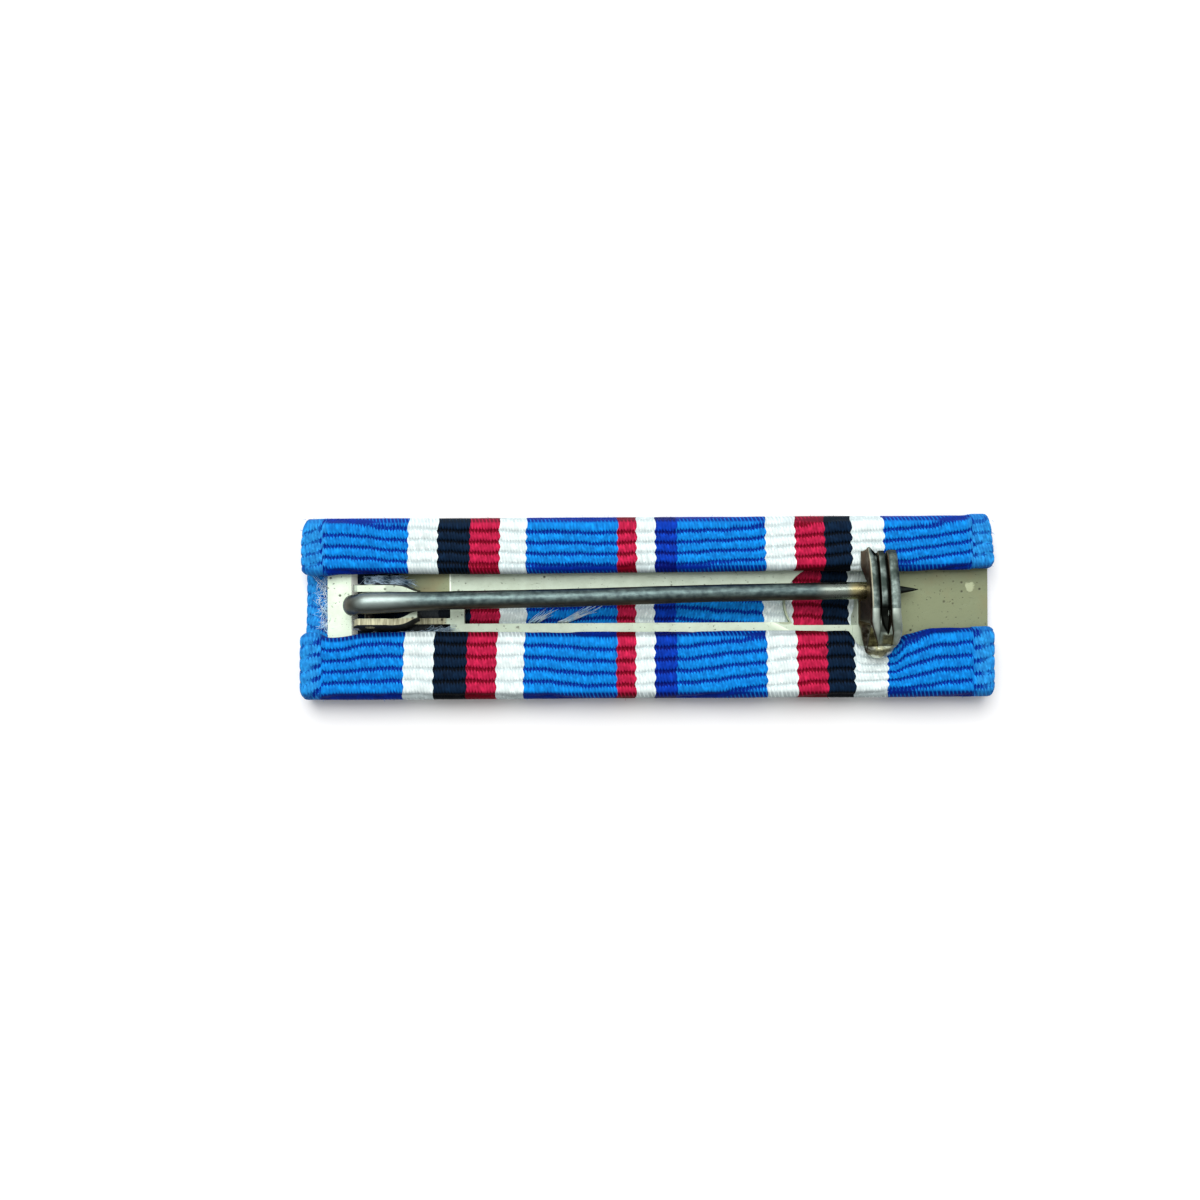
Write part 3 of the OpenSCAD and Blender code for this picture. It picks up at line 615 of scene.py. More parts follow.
# Groups of fibres in mm: how many, their place and its spread, their run and its scatter, their
# bend, and the limits of their rise and of their radius. Two tufts in the window, the fluff at the
# hinge end in two parts, and the grey fluff round the hinge in three.
TUFTS = [
    (17, (-5.85, -0.74, 0.6), (0.3, 0.05, 0.02), (0.95, 0.66, 0.02), (0.25, 0.12, 0.02),
     (0.18, 0.14, 0.02), (0.1, 0.4), (0.02, 0.036)),
    (24, (-4.35, -0.74, 0.6), (0.28, 0.05, 0.02), (1.75, 0.8, 0.02), (0.3, 0.14, 0.02),
     (0.22, 0.18, 0.02), (0.1, 0.4), (0.02, 0.036)),
    (120, (-16.5, 0.75, 0.6), (0.3, 0.75, 0.06), (-0.02, 0.05, 0.0), (0.3, 0.4, 0.05),
     (0.35, 0.35, 0.05), (0.03, 0.3), (0.008, 0.018)),
    (120, (-16.45, -0.45, 0.6), (0.26, 0.6, 0.06), (0.02, 0.0, 0.0), (0.26, 0.4, 0.05),
     (0.35, 0.35, 0.05), (0.03, 0.3), (0.008, 0.018)),
    (230, (-13.5, 1.5, 0.85), (1.0, 0.22, 0.12), (0.7, -0.2, 0.05), (0.4, 0.16, 0.1),
     (0.3, 0.2, 0.1), (0.0, 0.16), (0.01, 0.022)),
    (120, (-12.4, -1.25, 0.95), (1.7, 0.06, 0.1), (0.7, 0.05, 0.0), (0.4, 0.06, 0.08),
     (0.3, 0.08, 0.1), (0.0, 0.12), (0.008, 0.018)),
    (60, (-10.7, -1.12, 1.0), (0.5, 0.1, 0.1), (0.5, 0.1, 0.0), (0.4, 0.12, 0.08),
     (0.3, 0.1, 0.1), (0.0, 0.1), (0.01, 0.022)),
]
LINT = 480
LINT_STEPS = 5


def frayed_tufts(rng):
    """All the groups of fibres, each fibre's numbers drawn at random within its group's limits."""
    groups = []
    for n, place, spread, run, scatter, bend, rise, thick in TUFTS:
        root = np.array(place) + rng.uniform(-1, 1, (n, 3)) * spread
        way = np.array(run) * rng.uniform(0.45, 1.08, (n, 1)) + rng.uniform(-1, 1, (n, 3)) * scatter
        side = rng.uniform(-1, 1, (n, 3)) * bend
        groups.append((root, way, side, rng.uniform(*rise, n), rng.uniform(*thick, n)))
    return fibres(*[np.concatenate(parts) for parts in zip(*groups)], steps=8)


def edge_lint(rng, s):
    """Short fibres that stand out of the folds, the ends and the bands. Each takes the stripe's
    colour at its root."""
    half, out = s.length / 2 / MM, s.height / 2 / MM
    n = LINT
    x = rng.uniform(-half + 0.1, half - 0.1, n)
    sign = np.where(rng.uniform(0, 1, n) < 0.5, -1.0, 1.0)
    kind = rng.uniform(0, 1, n)
    fold, band = kind < 0.5, (kind >= 0.5) & (kind < 0.74)
    on_band = np.where(sign > 0, rng.uniform(1.9, 4.4, n), rng.uniform(-4.4, -1.5, n))
    y = np.where(fold, sign * (out - 0.06), on_band)
    z = np.where(fold, rng.uniform(0.5, 1.55, n), np.where(band, BAND_TOP, rng.uniform(0.3, 1.7, n)))
    at_end = ~fold & ~band
    x = np.where(at_end, np.sign(x) * (half - 0.05), x)
    run = rng.uniform(-0.12, 0.12, (n, 3))
    run[fold, 1] = sign[fold] * rng.uniform(0.03, 0.12, fold.sum())
    run[band, 2] = rng.uniform(0.02, 0.06, band.sum())
    run[at_end, 0] = np.sign(x[at_end]) * rng.uniform(0.04, 0.15, at_end.sum())
    side, rise = rng.uniform(-0.06, 0.06, (n, 3)), rng.uniform(0, 0.03, n)
    radius = rng.uniform(0.006, 0.013, n)
    points, faces = fibres(np.stack([x, y, z], -1), run, side, rise, radius, LINT_STEPS)
    each = 3 * LINT_STEPS
    uv = np.stack([np.repeat(x * (1 + TAPER * y), each), np.full(n * each, 0.5)], -1)
    return points, faces, {"weave": uv, "fold": np.zeros_like(uv)}


def thread_material():
    """Frayed raw fibre: dull white in the window and at the hinge end, grey-blue with dirt beside
    the hinge."""
    made, add = new_material("frayed_fibre")
    at, x, _, _ = object_mm(add)
    noise = product(add, (add("TexNoise", at, Scale=2.4), 0.34, 0.58))
    white = painted(add, "bce6ff", ("f0fbff", noise))
    dirty = painted(add, "2c526c", ("c4def0", noise))
    shade(add, painted(add, white, (dirty, (x, -15.6, -15.2), (x, -8.0, -9.0))), Roughness=0.8)
    return made


# Metal finishes

def plate_material(s):
    """Stamped brass sheet with a pale worn coat: soft broad gloss, dark pits and fine scratches, olive
    painted shade on the tab past the catch and on the ramp beside the hinge, painted shade on the upper rail,
    and black painted shade on the walls round the hinge. Places are in mm."""
    made, add = new_material("stamped_pale_brass")
    at, x, y, z = object_mm(add)
    blotch = add("TexNoise", at, Scale=1.5, Detail=6.0, Roughness=0.7)
    cloud = add("TexNoise", at, Scale=0.33, Detail=4.0)
    # Olive painted shade: the tab past the catch, and the ramp beside the hinge
    tab = product(add, (add("Math MULTIPLY_ADD", cloud, 1.2, x), 12.2, 13.4, SMOOTH))
    high = product(add, (y, 0.3, 0.5))
    ramp = product(add, (x, -10.06, -10.1), high, (x, -13.4, -13.0), (z, 1.15, 1.0))
    painted_shade = add("Math MULTIPLY_ADD", blotch, 0.6, add("Math MAXIMUM", tab, ramp))
    painted_shade = add("Clamp", add("Math SUBTRACT", painted_shade, 0.24))
    olive = painted(add, s.olive, ("958e68", (cloud, 0.45, 0.62, SMOOTH)))
    colour = painted(add, s.pale, (olive, painted_shade))
    # Painted shade: the ramp darkens towards the ear, and the upper rail takes the upper band's shadow
    dull = add("MapRange", y, 0.6, 1.5, 0.82, 0.62)
    dull = add("Mix", product(add, (x, -10.4, -10.0)), 1.0, dull)
    dark = add("Mix", ramp, dull, add("MapRange", x, -12.9, -10.2, 0.3, 1.0))
    colour = add("Mix", 1.0, colour, dark, data_type="RGBA", blend_type="MULTIPLY")
    # A painted highlight along the crease where the ramp meets the rail, crowns on the lower ear and its arm,
    # painted shade on the sliver across the hole beside the catch, a painted highlight on the facet of a
    # pressed step that crosses the rail below it, and a blotch on the tab
    line = add("Math ABSOLUTE", add("Math ADD", x, 10.04))
    crowns = product(add, (y, -0.4, -0.5), (x, -10.2, -10.35), (x, -14.96, -14.93))
    grain = add("TexNoise", add("Mapping", at, Scale=(9.5, 0.9, 0.9)), Scale=1.0, Detail=2.0)
    yellow = painted(add, "918868", ("d8d4b2", (grain, 0.35, 0.65)))
    sliver = add("VectorMath DISTANCE", at, (7.05, -0.15, 1.1))
    step = add("Math SUBTRACT", add("Math MULTIPLY_ADD", y, 1.9, x), 4.95)
    ragged = add("TexNoise", at, Scale=3.2, Detail=2.0)
    spot = add("Math MULTIPLY_ADD", ragged, 0.35, add("VectorMath DISTANCE", at, (16.45, 1.0, 0.9)))
    colour = painted(
        add, colour, ("f6fff0", (line, 0.05, 0.03), high, 0.8), (yellow, crowns, 0.85),
        ("8f9878", (sliver, 0.8, 0.75), 0.7),
        ("f4fbe8", (step, -0.6, 0.0), (step, 0.06, 0.0), (y, -0.6, -0.7), 0.75),
        ("d2dcb4", (spot, 0.44, 0.36, SMOOTH), 0.45))
    # Pits about 0.05 to 0.12 mm across, and many finer specks
    cell = add("TexVoronoi", at, Scale=2.3)
    pick = add("SeparateColor", cell.node.outputs["Color"])
    pit = product(add, (cell, 0.22, 0.07, SMOOTH), (pick, 0.66, 0.86))
    speck = product(add, (add("TexNoise", at, Scale=8.2, Detail=1.0), 0.69, 0.78), 0.75)
    pit = add("Math MAXIMUM", pit, speck)
    # Dark specks gather in hair lines that run along the sheet
    hair = add("Mapping", at, Rotation=(0, 0, 0.06), Scale=(0.9, 6.5, 0.9))
    hair = product(add, (add("TexNoise", hair, Scale=1.0, Detail=3.0), 0.68, 0.75))
    mark = add("Clamp", add("Math MULTIPLY", add("Math MULTIPLY_ADD", hair, 0.3, pit), 0.9))
    # Walls round the hinge that face sideways are black with painted shade, but the left one is a ledge lit
    # with a painted highlight and made less metallic
    up = facing(add)[2]
    ledge = product(add, (x, -14.55, -14.65), (z, 1.62, 1.55))
    slope = product(add, (up, 0.8, 0.7), ledge)
    bare = add("Math MULTIPLY_ADD", ledge, -0.8, 0.95)
    wall = (s.dark, (up, 0.5, 0.35), (x, -9.9, -10.02), bare)
    colour = painted(add, colour, (s.pit, mark), ("fbfff4", slope), wall)
    height = add("Math MULTIPLY_ADD", mark, -1.2, blotch)
    bump = add("Bump", Strength=0.7, Distance=0.014 * MM, Height=height)
    rough = add("Math MULTIPLY_ADD", crowns, 0.3, add("Math MULTIPLY_ADD", blotch, 0.25, 0.4))
    metal = add("Math MULTIPLY_ADD", slope, -0.45, 0.45)
    shade(add, colour, Roughness=rough, Metallic=metal, Normal=bump)
    return made


def pin_material(s):
    """Drawn steel wire with a dark worn surface: mottled, brown on its lower side and at its eye, with
    painted shade along its upper side, rubbed bright and then yellowed beside the catch, and darker at its
    point. Fine draw marks run along it. Places are in mm."""
    made, add = new_material("dark_drawn_steel")
    at, x, _, _ = object_mm(add)
    toward = facing(add)[1]
    marks = add("TexNoise", add("Mapping", at, Scale=(0.9, 4.2, 4.2)), Scale=1.0, Detail=5.0, Roughness=0.7)
    mottle = add("TexNoise", at, Scale=3.6, Detail=4.0)
    both = add("Math ADD", marks, mottle)
    under = add("Math MULTIPLY_ADD", both, -0.35, toward)
    under = product(add, (under, -0.55, -1.1, SMOOTH), 0.8)
    eye = product(add, (x, -14.2, -15.0, SMOOTH), 0.75)
    pale = product(add, (x, -10.8, -13.2, SMOOTH), 0.75)
    past = product(add, (x, 12.2, 11.6))
    rubbed = product(add, (x, 8.3, 9.1, SMOOTH), past, 0.85)
    # Worn steel, paler over the hinge, brown below and darkened by painted shade along its upper side; then
    # the rubbed stretch, the yellowed one beside the catch, and the darker point
    colour = painted(
        add, s.steel, (s.bright, (both, 0.7, 1.4, SMOOTH)), ("8d9995", pale),
        ("483d2b", add("Math MAXIMUM", under, eye)), ("171b1b", (toward, 0.74, 0.95, SMOOTH), 0.75),
        ("8b948a", rubbed), (s.brass, (x, 9.9, 10.4, SMOOTH), past, 0.9), ("16140f", (x, 12.4, 12.8), 0.85))
    bump = add("Bump", Strength=0.45, Distance=0.01 * MM, Height=both)
    rough = 0.34
    for part, change in ((mottle, 0.24), (pale, -0.07), (rubbed, -0.22)):
        rough = add("Math MULTIPLY_ADD", part, change, rough)
    shade(add, colour, Roughness=rough, Metallic=1.0, Normal=bump)
    return made


def rivet_material():
    """Turned steel, black with painted shade of the hollow between the pin and the lower ear, mottled with
    brown.
    """
    made, add = new_material("grimed_turned_steel")
    hinge_shade = add("TexNoise", object_mm(add)[0], Scale=5.2, Detail=3.0)
    shade(add, painted(add, "17140f", ("73684f", (hinge_shade, 0.5, 0.7))), Roughness=0.5, Metallic=0.6)
    return made


def catch_material(s):
    """Plated strip, bent cold: dark mottled plating on the leaf, paler metal past a crease, sides browned and
    darkened with painted shade, brass at the bend with painted highlights, and black painted shade in the
    grooves. Places are in mm."""
    made, add = new_material("worn_plated_strip")
    at, x, y, z = object_mm(add)
    toward = facing(add)[0]
    mottle = add("TexNoise", at, Scale=2.6, Detail=6.0, Roughness=0.7)
    coarse = add("TexNoise", at, Scale=1.1, Detail=3.0)
    worn = product(add, (mottle, 0.38, 0.66, SMOOTH))
    patch = product(add, (coarse, 0.38, 0.6, SMOOTH))
    glint_spots = product(add, (add("TexNoise", at, Scale=1.9, Detail=3.0), 0.46, 0.6, SMOOTH))
    # The two tones of each finish
    plated = painted(add, "323c38", (painted(add, s.steel, ("7f8d88", worn)), patch))
    bare = painted(add, "7a877c", (s.bright, patch))
    bent = painted(add, "3b3d30", (s.brass, worn), ("d3d8c6", glint_spots))
    brown = painted(add, "352c22", (s.brown, worn))
    stain = painted(add, "37331f", ("76744e", worn))
    # Past the crease the leaf is paler; at the bend and below it the brass shows, with painted highlights in
    # spots
    crease = (add("Math MULTIPLY_ADD", coarse, 0.05, y), -0.03, -0.06)
    bend = product(add, (add("Math MULTIPLY_ADD", coarse, 0.8, y), -1.3, -1.75))
    bend = add("Math MAXIMUM", bend, product(add, (z, 2.1, 1.9)))
    # The left side is browned and darkened with painted shade, paler near the leaf's end, and a pale line
    # runs along its upper edge
    side = product(add, (toward, -0.5, -0.75))
    edge = add("Math ABSOLUTE", add("Math ADD", toward, 0.45))
    # The wear map carries the black painted shade of the grooves, then an olive stain
    dirt, olive, _ = add("SeparateXYZ", add("UVMap", uv_map="wear")).node.outputs
    colour = painted(
        add, plated, (bare, crease), (bent, bend), (brown, side), ("8d7f6c", (y, 1.2, 2.4), side, 0.75),
        ("d3cdb0", (edge, 0.22, 0.08), (x, 11.1, 11.0), (y, -0.2, 0.1), 0.5),
        ("6d6245", (z, 1.5, 1.35), 0.7), (stain, olive), ("0b0d0a", dirt))
    height = add("Math MULTIPLY_ADD", mottle, 0.7, coarse)
    bump = add("Bump", Strength=0.8, Distance=0.02 * MM, Height=height)
    rough = add("Math MULTIPLY_ADD", mottle, 0.25, 0.36)
    shade(add, colour, Roughness=rough, Metallic=1.0, Normal=bump)
    return made


# The pin

HINGE = np.array([-14.0, 0.25, 1.81])
STEM_Z = 2.58
PIN_L = 27.7
POINT_L = 2.5
PIN_DRIFT = 0.6
PIN_DIP = math.asin((STEM_Z - 1.62) / 25.7)
# Places along the stem, and how far it bows across there
BOW = ([0, 3, 5, 9.6, 17, 24, PIN_L], [0.05, 0.08, 0.077, 0.045, 0.085, 0.035, 0.0])


def pin_wire(s):
    """The wire's line is most of an oval round the rivet, centre + (0.88 cos a, 0, 0.77 sin a), that
    runs off its top into the stem. The stem is t (cos dip cos yaw, sin yaw, -sin dip) with a slow bow
    across; it is wider across by 0.2 exp(-(t/2.13)^2) at the eye, and its radius falls to the point as
    (1 - t)^0.82."""
    r = s.wire / 2 / MM
    turn = np.linspace(330, 90, 72)
    a = np.radians(turn)
    eye = HINGE + np.stack([0.88 * np.cos(a), 0 * a, (STEM_Z - HINGE[2]) * np.sin(a)], -1)
    shaft = PIN_L - POINT_L
    t = np.concatenate([np.linspace(0.2, shaft, 190), shaft + POINT_L * np.linspace(0.02, 1, 40) ** 0.9])
    yaw = math.asin(PIN_DRIFT / PIN_L)
    along = np.array([math.cos(PIN_DIP) * math.cos(yaw), math.sin(yaw), -math.sin(PIN_DIP)])
    stem = np.array([HINGE[0], HINGE[1], STEM_Z]) + t[:, None] * along
    stem[:, 1] += drawn(t, *BOW, 0.8)
    # The wire is pressed wider where it is bent, and for a way along the stem
    press = np.exp(-((turn - 160) / 60) ** 2)
    eye[:, 1] += 0.06 * (1 - step_up(turn, 90, 170)) - 0.06 * press
    eye_wide = 1 + np.maximum(0.17 * press, 0.2 * (1 - step_up(turn, 90, 150)))
    stem_wide = 1 + 0.2 * np.exp(-(t / 2.13) ** 2)
    point = np.clip((t - shaft) / POINT_L, 0, 1)
    dents = 1 + 0.012 * np.sin(t * 2.3) * np.sin(t * 0.9 + 1)
    stem_r = (r - 0.02 * step_up(t, 8, 20)) * dents * (1 - point) ** 0.82 + 0.006
    path, radius = np.concatenate([eye, stem]), np.concatenate([r + 0 * a, stem_r])
    return tube(path, radius, np.concatenate([eye_wide, stem_wide]), sides=40)


# The catch

# The bent strip's middle line from the leaf's end round the bend to the foot, as y and z
LEAF = [
    (2.9, 2.236), (2.185, 2.639), (1.085, 3.017), (-0.07, 3.239), (-1.115, 3.130), (-1.8, 2.891),
    (-2.2425, 2.702), (-2.4185, 2.412), (-2.215, 2.059), (-1.72, 1.706), (-1.17, 1.303),
    (-0.9, 1.115), (-0.5, 1.1), (0.45, 1.1),
]
# By y: the leaf's right edge, and each ridge's middle and half width
RIGHT_EDGE = ([-2.4, -2.1, -1.75, -1.3, -0.9, -0.3], [12.12, 12.2, 12.36, 12.48, 12.47, 12.40])
LEFT_RIDGE = (
    [-1.8, -1.5, -1.05, -0.7, 2.1, 2.7], [11.31, 11.29, 11.21, 11.155, 11.14, 11.03],
    [0.015, 0.11, 0.2, 0.235, 0.22, 0.14])
RIGHT_RIDGE = (
    [-1.95, -1.7, -1.3, -0.9, -0.3], [12.10, 12.18, 12.25, 12.22, 12.14],
    [0.14, 0.2, 0.24, 0.27, 0.27])
RIDGE_H = 0.14
# The lower strip between the ridges, and the grooves beside it with their half widths
STRIP_X = 11.61
CUTS = ((11.405, 0.042), (11.84, 0.05))
CUT_DEPTH = 0.16
FACET_X = 11.78
NOTCH_X = 11.29
CHEEK = 0.2


def catch_strip():
    """The bent strip as one closed surface. Across the leaf its height is the highest of two ridges
    and a lower strip between them, less two narrow grooves; past the crease the strip sinks to a
    valley that closes in a V between the ridges; then the strip runs round the bend as a bulb, thinner
    towards its edges, and out into the flat foot. Its sides hang down as cheeks, short over the pin
    and down to the foot beside it. Columns of numbers go with the path, rows with the width."""
    path = smooth_line(LEAF, n=260)
    step = unit(np.gradient(path, axis=0))
    y, z = path[:, :1], path[:, 1:]
    low = np.arange(len(y))[:, None] > np.argmin(y)
    foot = step_up(y, -1.1, -0.8) * low
    left = np.where(low, 10.80 - 0.075 * foot, np.interp(y, [-2.4, -1.7, -0.9], [10.80, 10.86, 10.92]))
    right = np.where(low, 12.12 + 0.355 * foot, drawn(y, *RIGHT_EDGE, 0.1))
    # Points across the top and down each cheek, and half the strip's thickness
    n, m, half = 101, 7, 0.18
    q = np.linspace(-1, 1, n)
    x = left + (right - left) * (q + 1) / 2

    def rounded(places, middles, halves, power):
        middle, width = drawn(y, places, middles, 0.06), drawn(y, places, halves, 0.06)
        return np.clip(1 - np.abs((x - middle) / width) ** power, 0, 1) ** 0.55

    ridges = np.maximum(rounded(*LEFT_RIDGE, 2.6), rounded(*RIGHT_RIDGE, 2.6))
    ridges = ridges * (1 - step_up(-y, 1.84, 1.96))
    strip = rounded([-1, 1], [STRIP_X] * 2, [0.185] * 2, 4) * 0.4 * step_up(y, -0.4, 0.15)
    cuts = sum(np.exp(-((x - at) / wide) ** 4) for at, wide in CUTS) * step_up(y, -0.9, -0.2)
    narrow = drawn(y, [-1.34, -0.9, -0.1], [0.015, 0.17, 0.25], 0.05)
    centre = np.interp(y, [-1.32, -0.5], [11.80, 11.64])
    sunk = np.interp(y, [-1.38, -1.28, -0.5, 0.1], [0, 0.2, 0.2, 0.0])
    valley = np.exp(-((x - centre) / narrow) ** 4) * sunk
    facet = step_up(-y, 1.28, 1.4) * (1 - step_up(-y, 1.8, 1.9)) * ~low
    leaf = 0.04 + RIDGE_H * np.maximum(ridges, strip) - CUT_DEPTH * cuts - valley
    leaf += 0.05 * facet * (1 - np.abs(np.clip((x - FACET_X) / 0.3, -1, 1)))
    gone = np.cumsum(np.linalg.norm(np.diff(path, axis=0, prepend=path[:1]), axis=1))[:, None]
    round_off = np.clip(1 - (gone - gone[np.argmin(y)] - 0.4) / 0.9, 0.15, 1)
    bulb = 0.155 - 0.3 * round_off * np.abs(q) ** 2.2
    late = np.where(low, 1.0, step_up(-y, 1.92, 2.14))
    crease = 0.025 * np.exp(-((y + 1.95) / 0.05) ** 2) * ~low
    edge = 1 - np.clip((1 - np.abs(q)) / 0.06, 0, 1)
    height = (1 - late) * leaf + late * bulb - crease - 0.06 * (1 - np.sqrt(1 - edge ** 2))
    # How far down each cheek reaches
    bottom = np.select([y > 1.4, y > 0.33, y > -0.8], [1.99, 2.2, 1.15], 9.0)
    depth = np.maximum(half + 0.004, np.where(low, 0, z - bottom))
    down, up = np.linspace(0, 1, m + 1)[1:], np.linspace(0, 1, m)
    beside = (step_up(-y, -0.34, -0.3) - step_up(-y, 0.75, 0.8)) * ~low
    flare_l = 0.25 * step_up(y, 1.3, 2.2) * ~low + 0.19 * beside
    flare_r = 0.07 * beside
    # Round the ring: the top, down the right cheek, up inside it, down inside the left one, and up
    xs = np.concatenate([
        x, right + flare_r * down ** 2, right - CHEEK + flare_r * (1 - up) ** 2,
        left + CHEEK - flare_l * up ** 2, (left - flare_l * down ** 2)[:, ::-1]], 1)
    first, last = height[:, :1], height[:, -1:]
    hs = np.concatenate([
        height, last + (-depth - last) * down, -depth + (depth - half) * up,
        -half + (half - depth) * up, (first + (-depth - first) * down)[:, ::-1]], 1)
    # The strip stands square to the bend, and what is below its under side hangs straight down
    square, hung = np.clip(hs, -half, 1), np.minimum(hs + half, 0)
    notch = 0.42 * np.exp(-((xs - NOTCH_X) / 0.085) ** 2)
    end = step_up(y, 2.5, 2.9) * ~low * (0.13 * (1 - step_up(xs, 11.02, 11.2)) - notch - 0.15)
    rings = np.stack([xs, y + step[:, 1:] * square + end, z - step[:, :1] * square + hung], -1)
    dirt, olive = np.zeros_like(hs), np.zeros_like(hs)
    # Black painted shade fills the grooves and the valley, and the lower strip is darkened; the flank beside
    # the left ridge and the middle facet are stained
    middle = (np.abs(x - 11.62) < 0.2) * (1 - step_up(y, -0.1, 0.7) * 0.75) * step_up(y, -1.3, -1.2) * 0.8
    dirt[:, :n] = np.clip(np.maximum(cuts, middle) * (1 - late) + 6 * valley, 0, 1) * 0.97
    flank_x = drawn(y, [-1.9, -1.5, -1.05, -0.8], [11.36, 11.2, 11.03, 10.9], 0.05)
    flank = (1 - step_up(x - flank_x, -0.05, 0.0)) * (1 - step_up(y, -0.9, -0.7)) * (1 - late)
    olive[:, :n] = np.maximum(facet * np.clip(1.4 - ((x - FACET_X) / 0.26) ** 2, 0, 0.85), flank)
    poles = np.concatenate([(left + right) / 2, y, z], 1)
    # The end cap dips in, so that the notch shows
    poles[0] += (0, -0.62, 0.33)
    points, faces = swept(poles, rings[:, ::-1])
    uv = np.stack([dirt[:, ::-1].ravel(), olive[:, ::-1].ravel()], -1)
    return points, faces, {"wear": np.concatenate([uv, np.zeros((2, 2))])}


# Operators

# Half the floor's side in mm, the key light in metres and watts, and the camera's x and y and the
# height of the bands that its own height is taken from, in mm
FLOOR_HALF = 900
KEY_PLACE, KEY_SIZE, KEY_WATTS = (-0.05, 0.21, 0.38), 0.3, 1.75
CAMERA = (-2.41, 0.40, 1.86)


class RIBBONBAR_OT_ribbon(bpy.types.Operator):
    """Winds the striped ribbon round the plate"""
    bl_idname = "ribbon_bar.ribbon"
    bl_label = "Ribbon"

    def execute(self, context):
        s = context.scene.ribbon_bar_ribbon
        points, faces, layers, long = ribbon_strip(s)
        cloth = ribbon_material(s)
        strip = build_mesh("ribbon_cloth", points, faces, layers)
        piece = place_piece(strip, cloth, "bar", "ribbon", "ribbon")
        lint = build_mesh("edge_lint", *edge_lint(np.random.default_rng(11), s))
        place_piece(lint, cloth, "bar", "ribbon")
        return {"FINISHED"}


class RIBBONBAR_OT_threads(bpy.types.Operator):
    """Adds the frayed threads in the window and round the hinge"""
    bl_idname = "ribbon_bar.threads"
    bl_label = "Loose threads"

    def execute(self, context):
        points, faces = frayed_tufts(np.random.default_rng(4))
        place_piece(build_mesh("frayed_threads", points, faces), thread_material(), "bar", "ribbon")
        return {"FINISHED"}


class RIBBONBAR_OT_plate(bpy.types.Operator):
    """Rounds the stamped plate's edges and gives the plate its finish"""
    bl_idname = "ribbon_bar.plate"
    bl_label = "Back plate"

    def execute(self, context):
        s = context.scene.ribbon_bar_plate
        sheet = copy_node("back_plate", "stamped_plate")
        plate = place_piece(sheet, plate_material(s), "bar", "plate_brass", "back_plate")
        rounded = plate.modifiers.new("edges", "BEVEL")
        rounded.width, rounded.segments = s.edge, 2
        rounded.limit_method, rounded.angle_limit = "ANGLE", math.radians(35)
        return {"FINISHED"}


class RIBBONBAR_OT_pin(bpy.types.Operator):
    """Draws the pin's wire from its eye to its point, and gives the rivet its steel, darkened with painted
    shade
    """
    bl_idname = "ribbon_bar.pin"
    bl_label = "Pin"

    def execute(self, context):
        s = context.scene.ribbon_bar_pin
        place_piece(build_mesh("pin_wire", *pin_wire(s)), pin_material(s), "pin", "pin_steel", "pin")
        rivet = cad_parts["hinge_rivet"].data
        rivet.materials.clear()
        rivet.materials.append(rivet_material())
        return {"FINISHED"}


class RIBBONBAR_OT_catch(bpy.types.Operator):
    """Bends the catch's strip from its leaf to its foot"""
    bl_idname = "ribbon_bar.catch"
    bl_label = "Catch"

    def execute(self, context):
        metal = catch_material(context.scene.ribbon_bar_catch)
        place_piece(build_mesh("catch_hook", *catch_strip()), metal, "bar", "catch_metal", "catch")
        return {"FINISHED"}


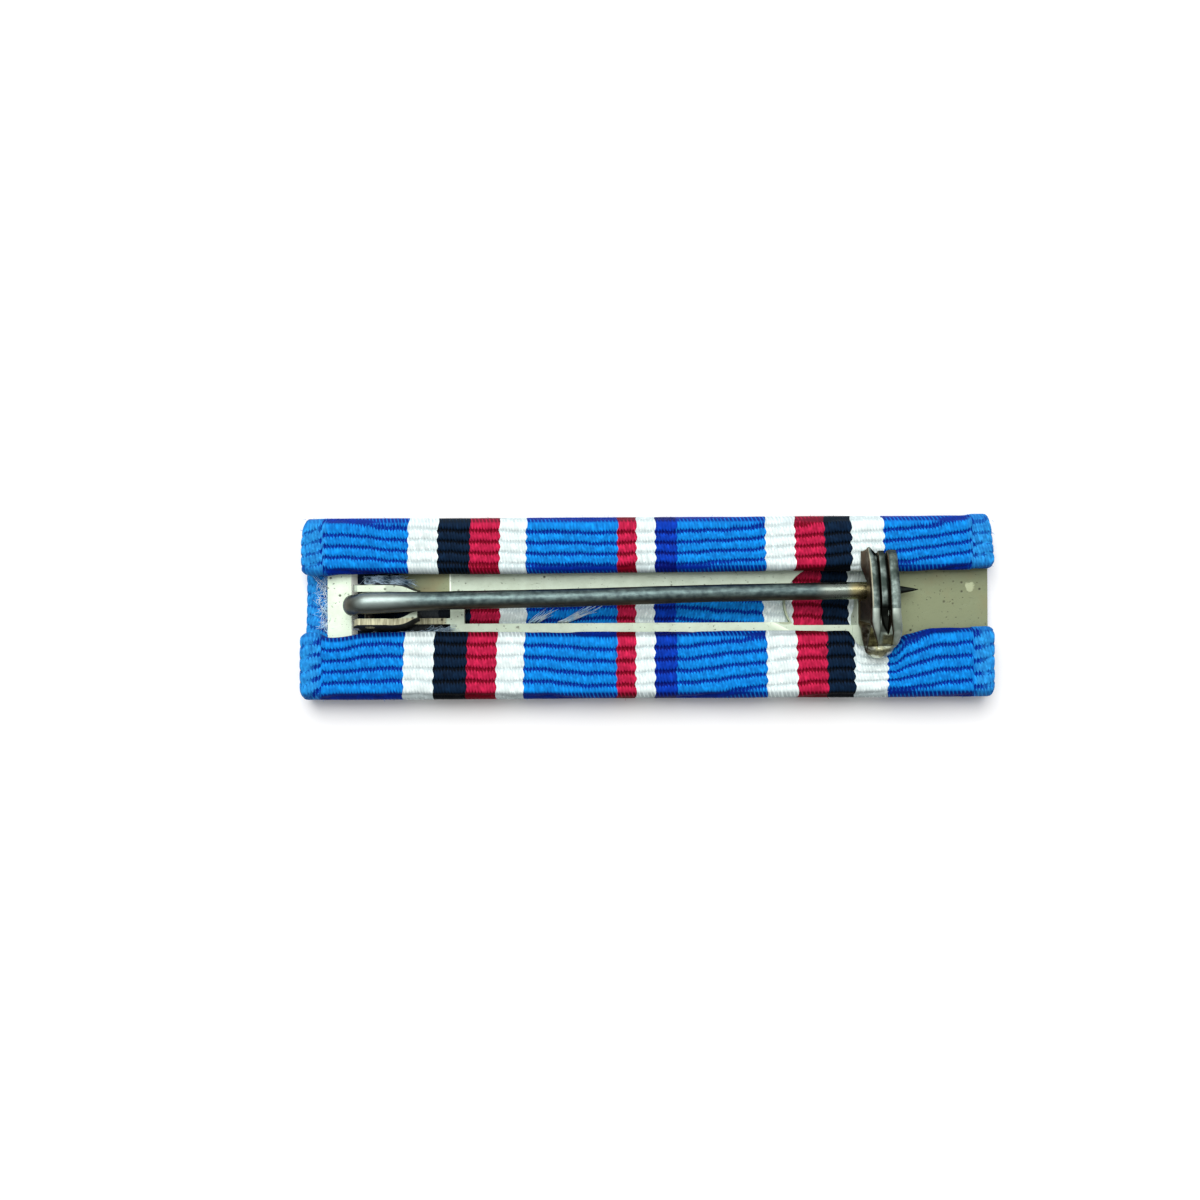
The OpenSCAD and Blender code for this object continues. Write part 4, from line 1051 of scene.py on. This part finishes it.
class RIBBONBAR_OT_stage(bpy.types.Operator):
    """Sets the pale floor, the soft light and the camera"""
    bl_idname = "ribbon_bar.stage"
    bl_label = "Stage"

    def execute(self, context):
        scene = context.scene
        s = scene.ribbon_bar_stage

        def put(name, data, place):
            made = bpy.data.objects.new(name, data)
            made.location = place
            scene.collection.objects.link(made)
            return made

        corners = FLOOR_HALF * np.array([[-1, -1, 0], [1, -1, 0], [1, 1, 0], [-1, 1, 0.0]])
        floor = put("floor", build_mesh("floor", corners, [np.array([[0, 1, 2, 3]])]), (0, 0, 0))
        paint, add = new_material("pale_floor")
        shade(add, s.floor, Roughness=0.9)
        floor.data.materials.append(paint)
        scene.view_settings.view_transform = "Standard"
        scene.world = bpy.data.worlds.new("soft_room")
        scene.world.use_nodes = True
        tree = scene.world.node_tree
        # Brighter overhead and to the back of the room, dim near the floor
        way = add_node(tree, "TexCoord").node.outputs["Generated"]
        _, y, z = add_node(tree, "SeparateXYZ", way).node.outputs
        lift = add_node(tree, "Math MULTIPLY_ADD", y, 0.45, z)
        glow = add_node(tree, "MapRange", lift, -0.1, 1.1, 0.12, 0.8, interpolation_type=SMOOTH)
        colour, strength = tree.nodes["Background"].inputs[:2]
        tree.links.new(glow, colour)
        strength.default_value = s.light
        soft = bpy.data.lights.new("key", "AREA")
        soft.shape, soft.size, soft.energy = "SQUARE", KEY_SIZE, KEY_WATTS * s.light
        key = put("key", soft, KEY_PLACE)
        key.rotation_euler = (-Vector(key.location)).to_track_quat("-Z", "Y").to_euler()
        view = bpy.data.cameras.new("camera")
        view.lens, view.sensor_width = s.focal, 36
        view.clip_start, view.clip_end = 0.002, 10
        x, y, z = CAMERA
        scene.camera = put("camera", view, (x * MM, y * MM, s.height + z * MM))
        scene.camera.rotation_euler = (0, 0, -math.radians(s.roll))
        return {"FINISHED"}


class RIBBONBAR_PT_panel(bpy.types.Panel):
    """Lists the ribbon bar's settings and steps"""
    bl_idname = "RIBBONBAR_PT_panel"
    bl_label = "Ribbon Bar"
    bl_space_type = "VIEW_3D"
    bl_region_type = "UI"
    bl_category = "Ribbon Bar"

    def draw(self, context):
        for group in GROUPS:
            settings = getattr(context.scene, group)
            box = self.layout.box()
            for key in settings.__annotations__:
                box.prop(settings, key)
        for step in STEPS:
            self.layout.operator(step.bl_idname)


STEPS = [
    RIBBONBAR_OT_ribbon, RIBBONBAR_OT_threads, RIBBONBAR_OT_plate, RIBBONBAR_OT_pin, RIBBONBAR_OT_catch,
    RIBBONBAR_OT_stage,
]
GROUPS = {
    "ribbon_bar_ribbon": RibbonSettings, "ribbon_bar_plate": PlateSettings, "ribbon_bar_pin": PinSettings,
    "ribbon_bar_catch": CatchSettings, "ribbon_bar_stage": StageSettings,
}
CLASSES = [*GROUPS.values(), *STEPS, RIBBONBAR_PT_panel]


def register():
    for each in CLASSES:
        bpy.utils.register_class(each)
    for name, group in GROUPS.items():
        setattr(bpy.types.Scene, name, PointerProperty(type=group))


def unregister():
    for name in GROUPS:
        delattr(bpy.types.Scene, name)
    for each in reversed(CLASSES):
        bpy.utils.unregister_class(each)


def main():
    """Registers the classes, and makes every piece and the stage."""
    register()
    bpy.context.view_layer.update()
    bpy.ops.ribbon_bar.ribbon()
    bpy.ops.ribbon_bar.threads()
    bpy.ops.ribbon_bar.plate()
    bpy.ops.ribbon_bar.pin()
    bpy.ops.ribbon_bar.catch()
    bpy.ops.ribbon_bar.stage()
    bpy.context.view_layer.update()


if __name__ == "__main__":
    main()
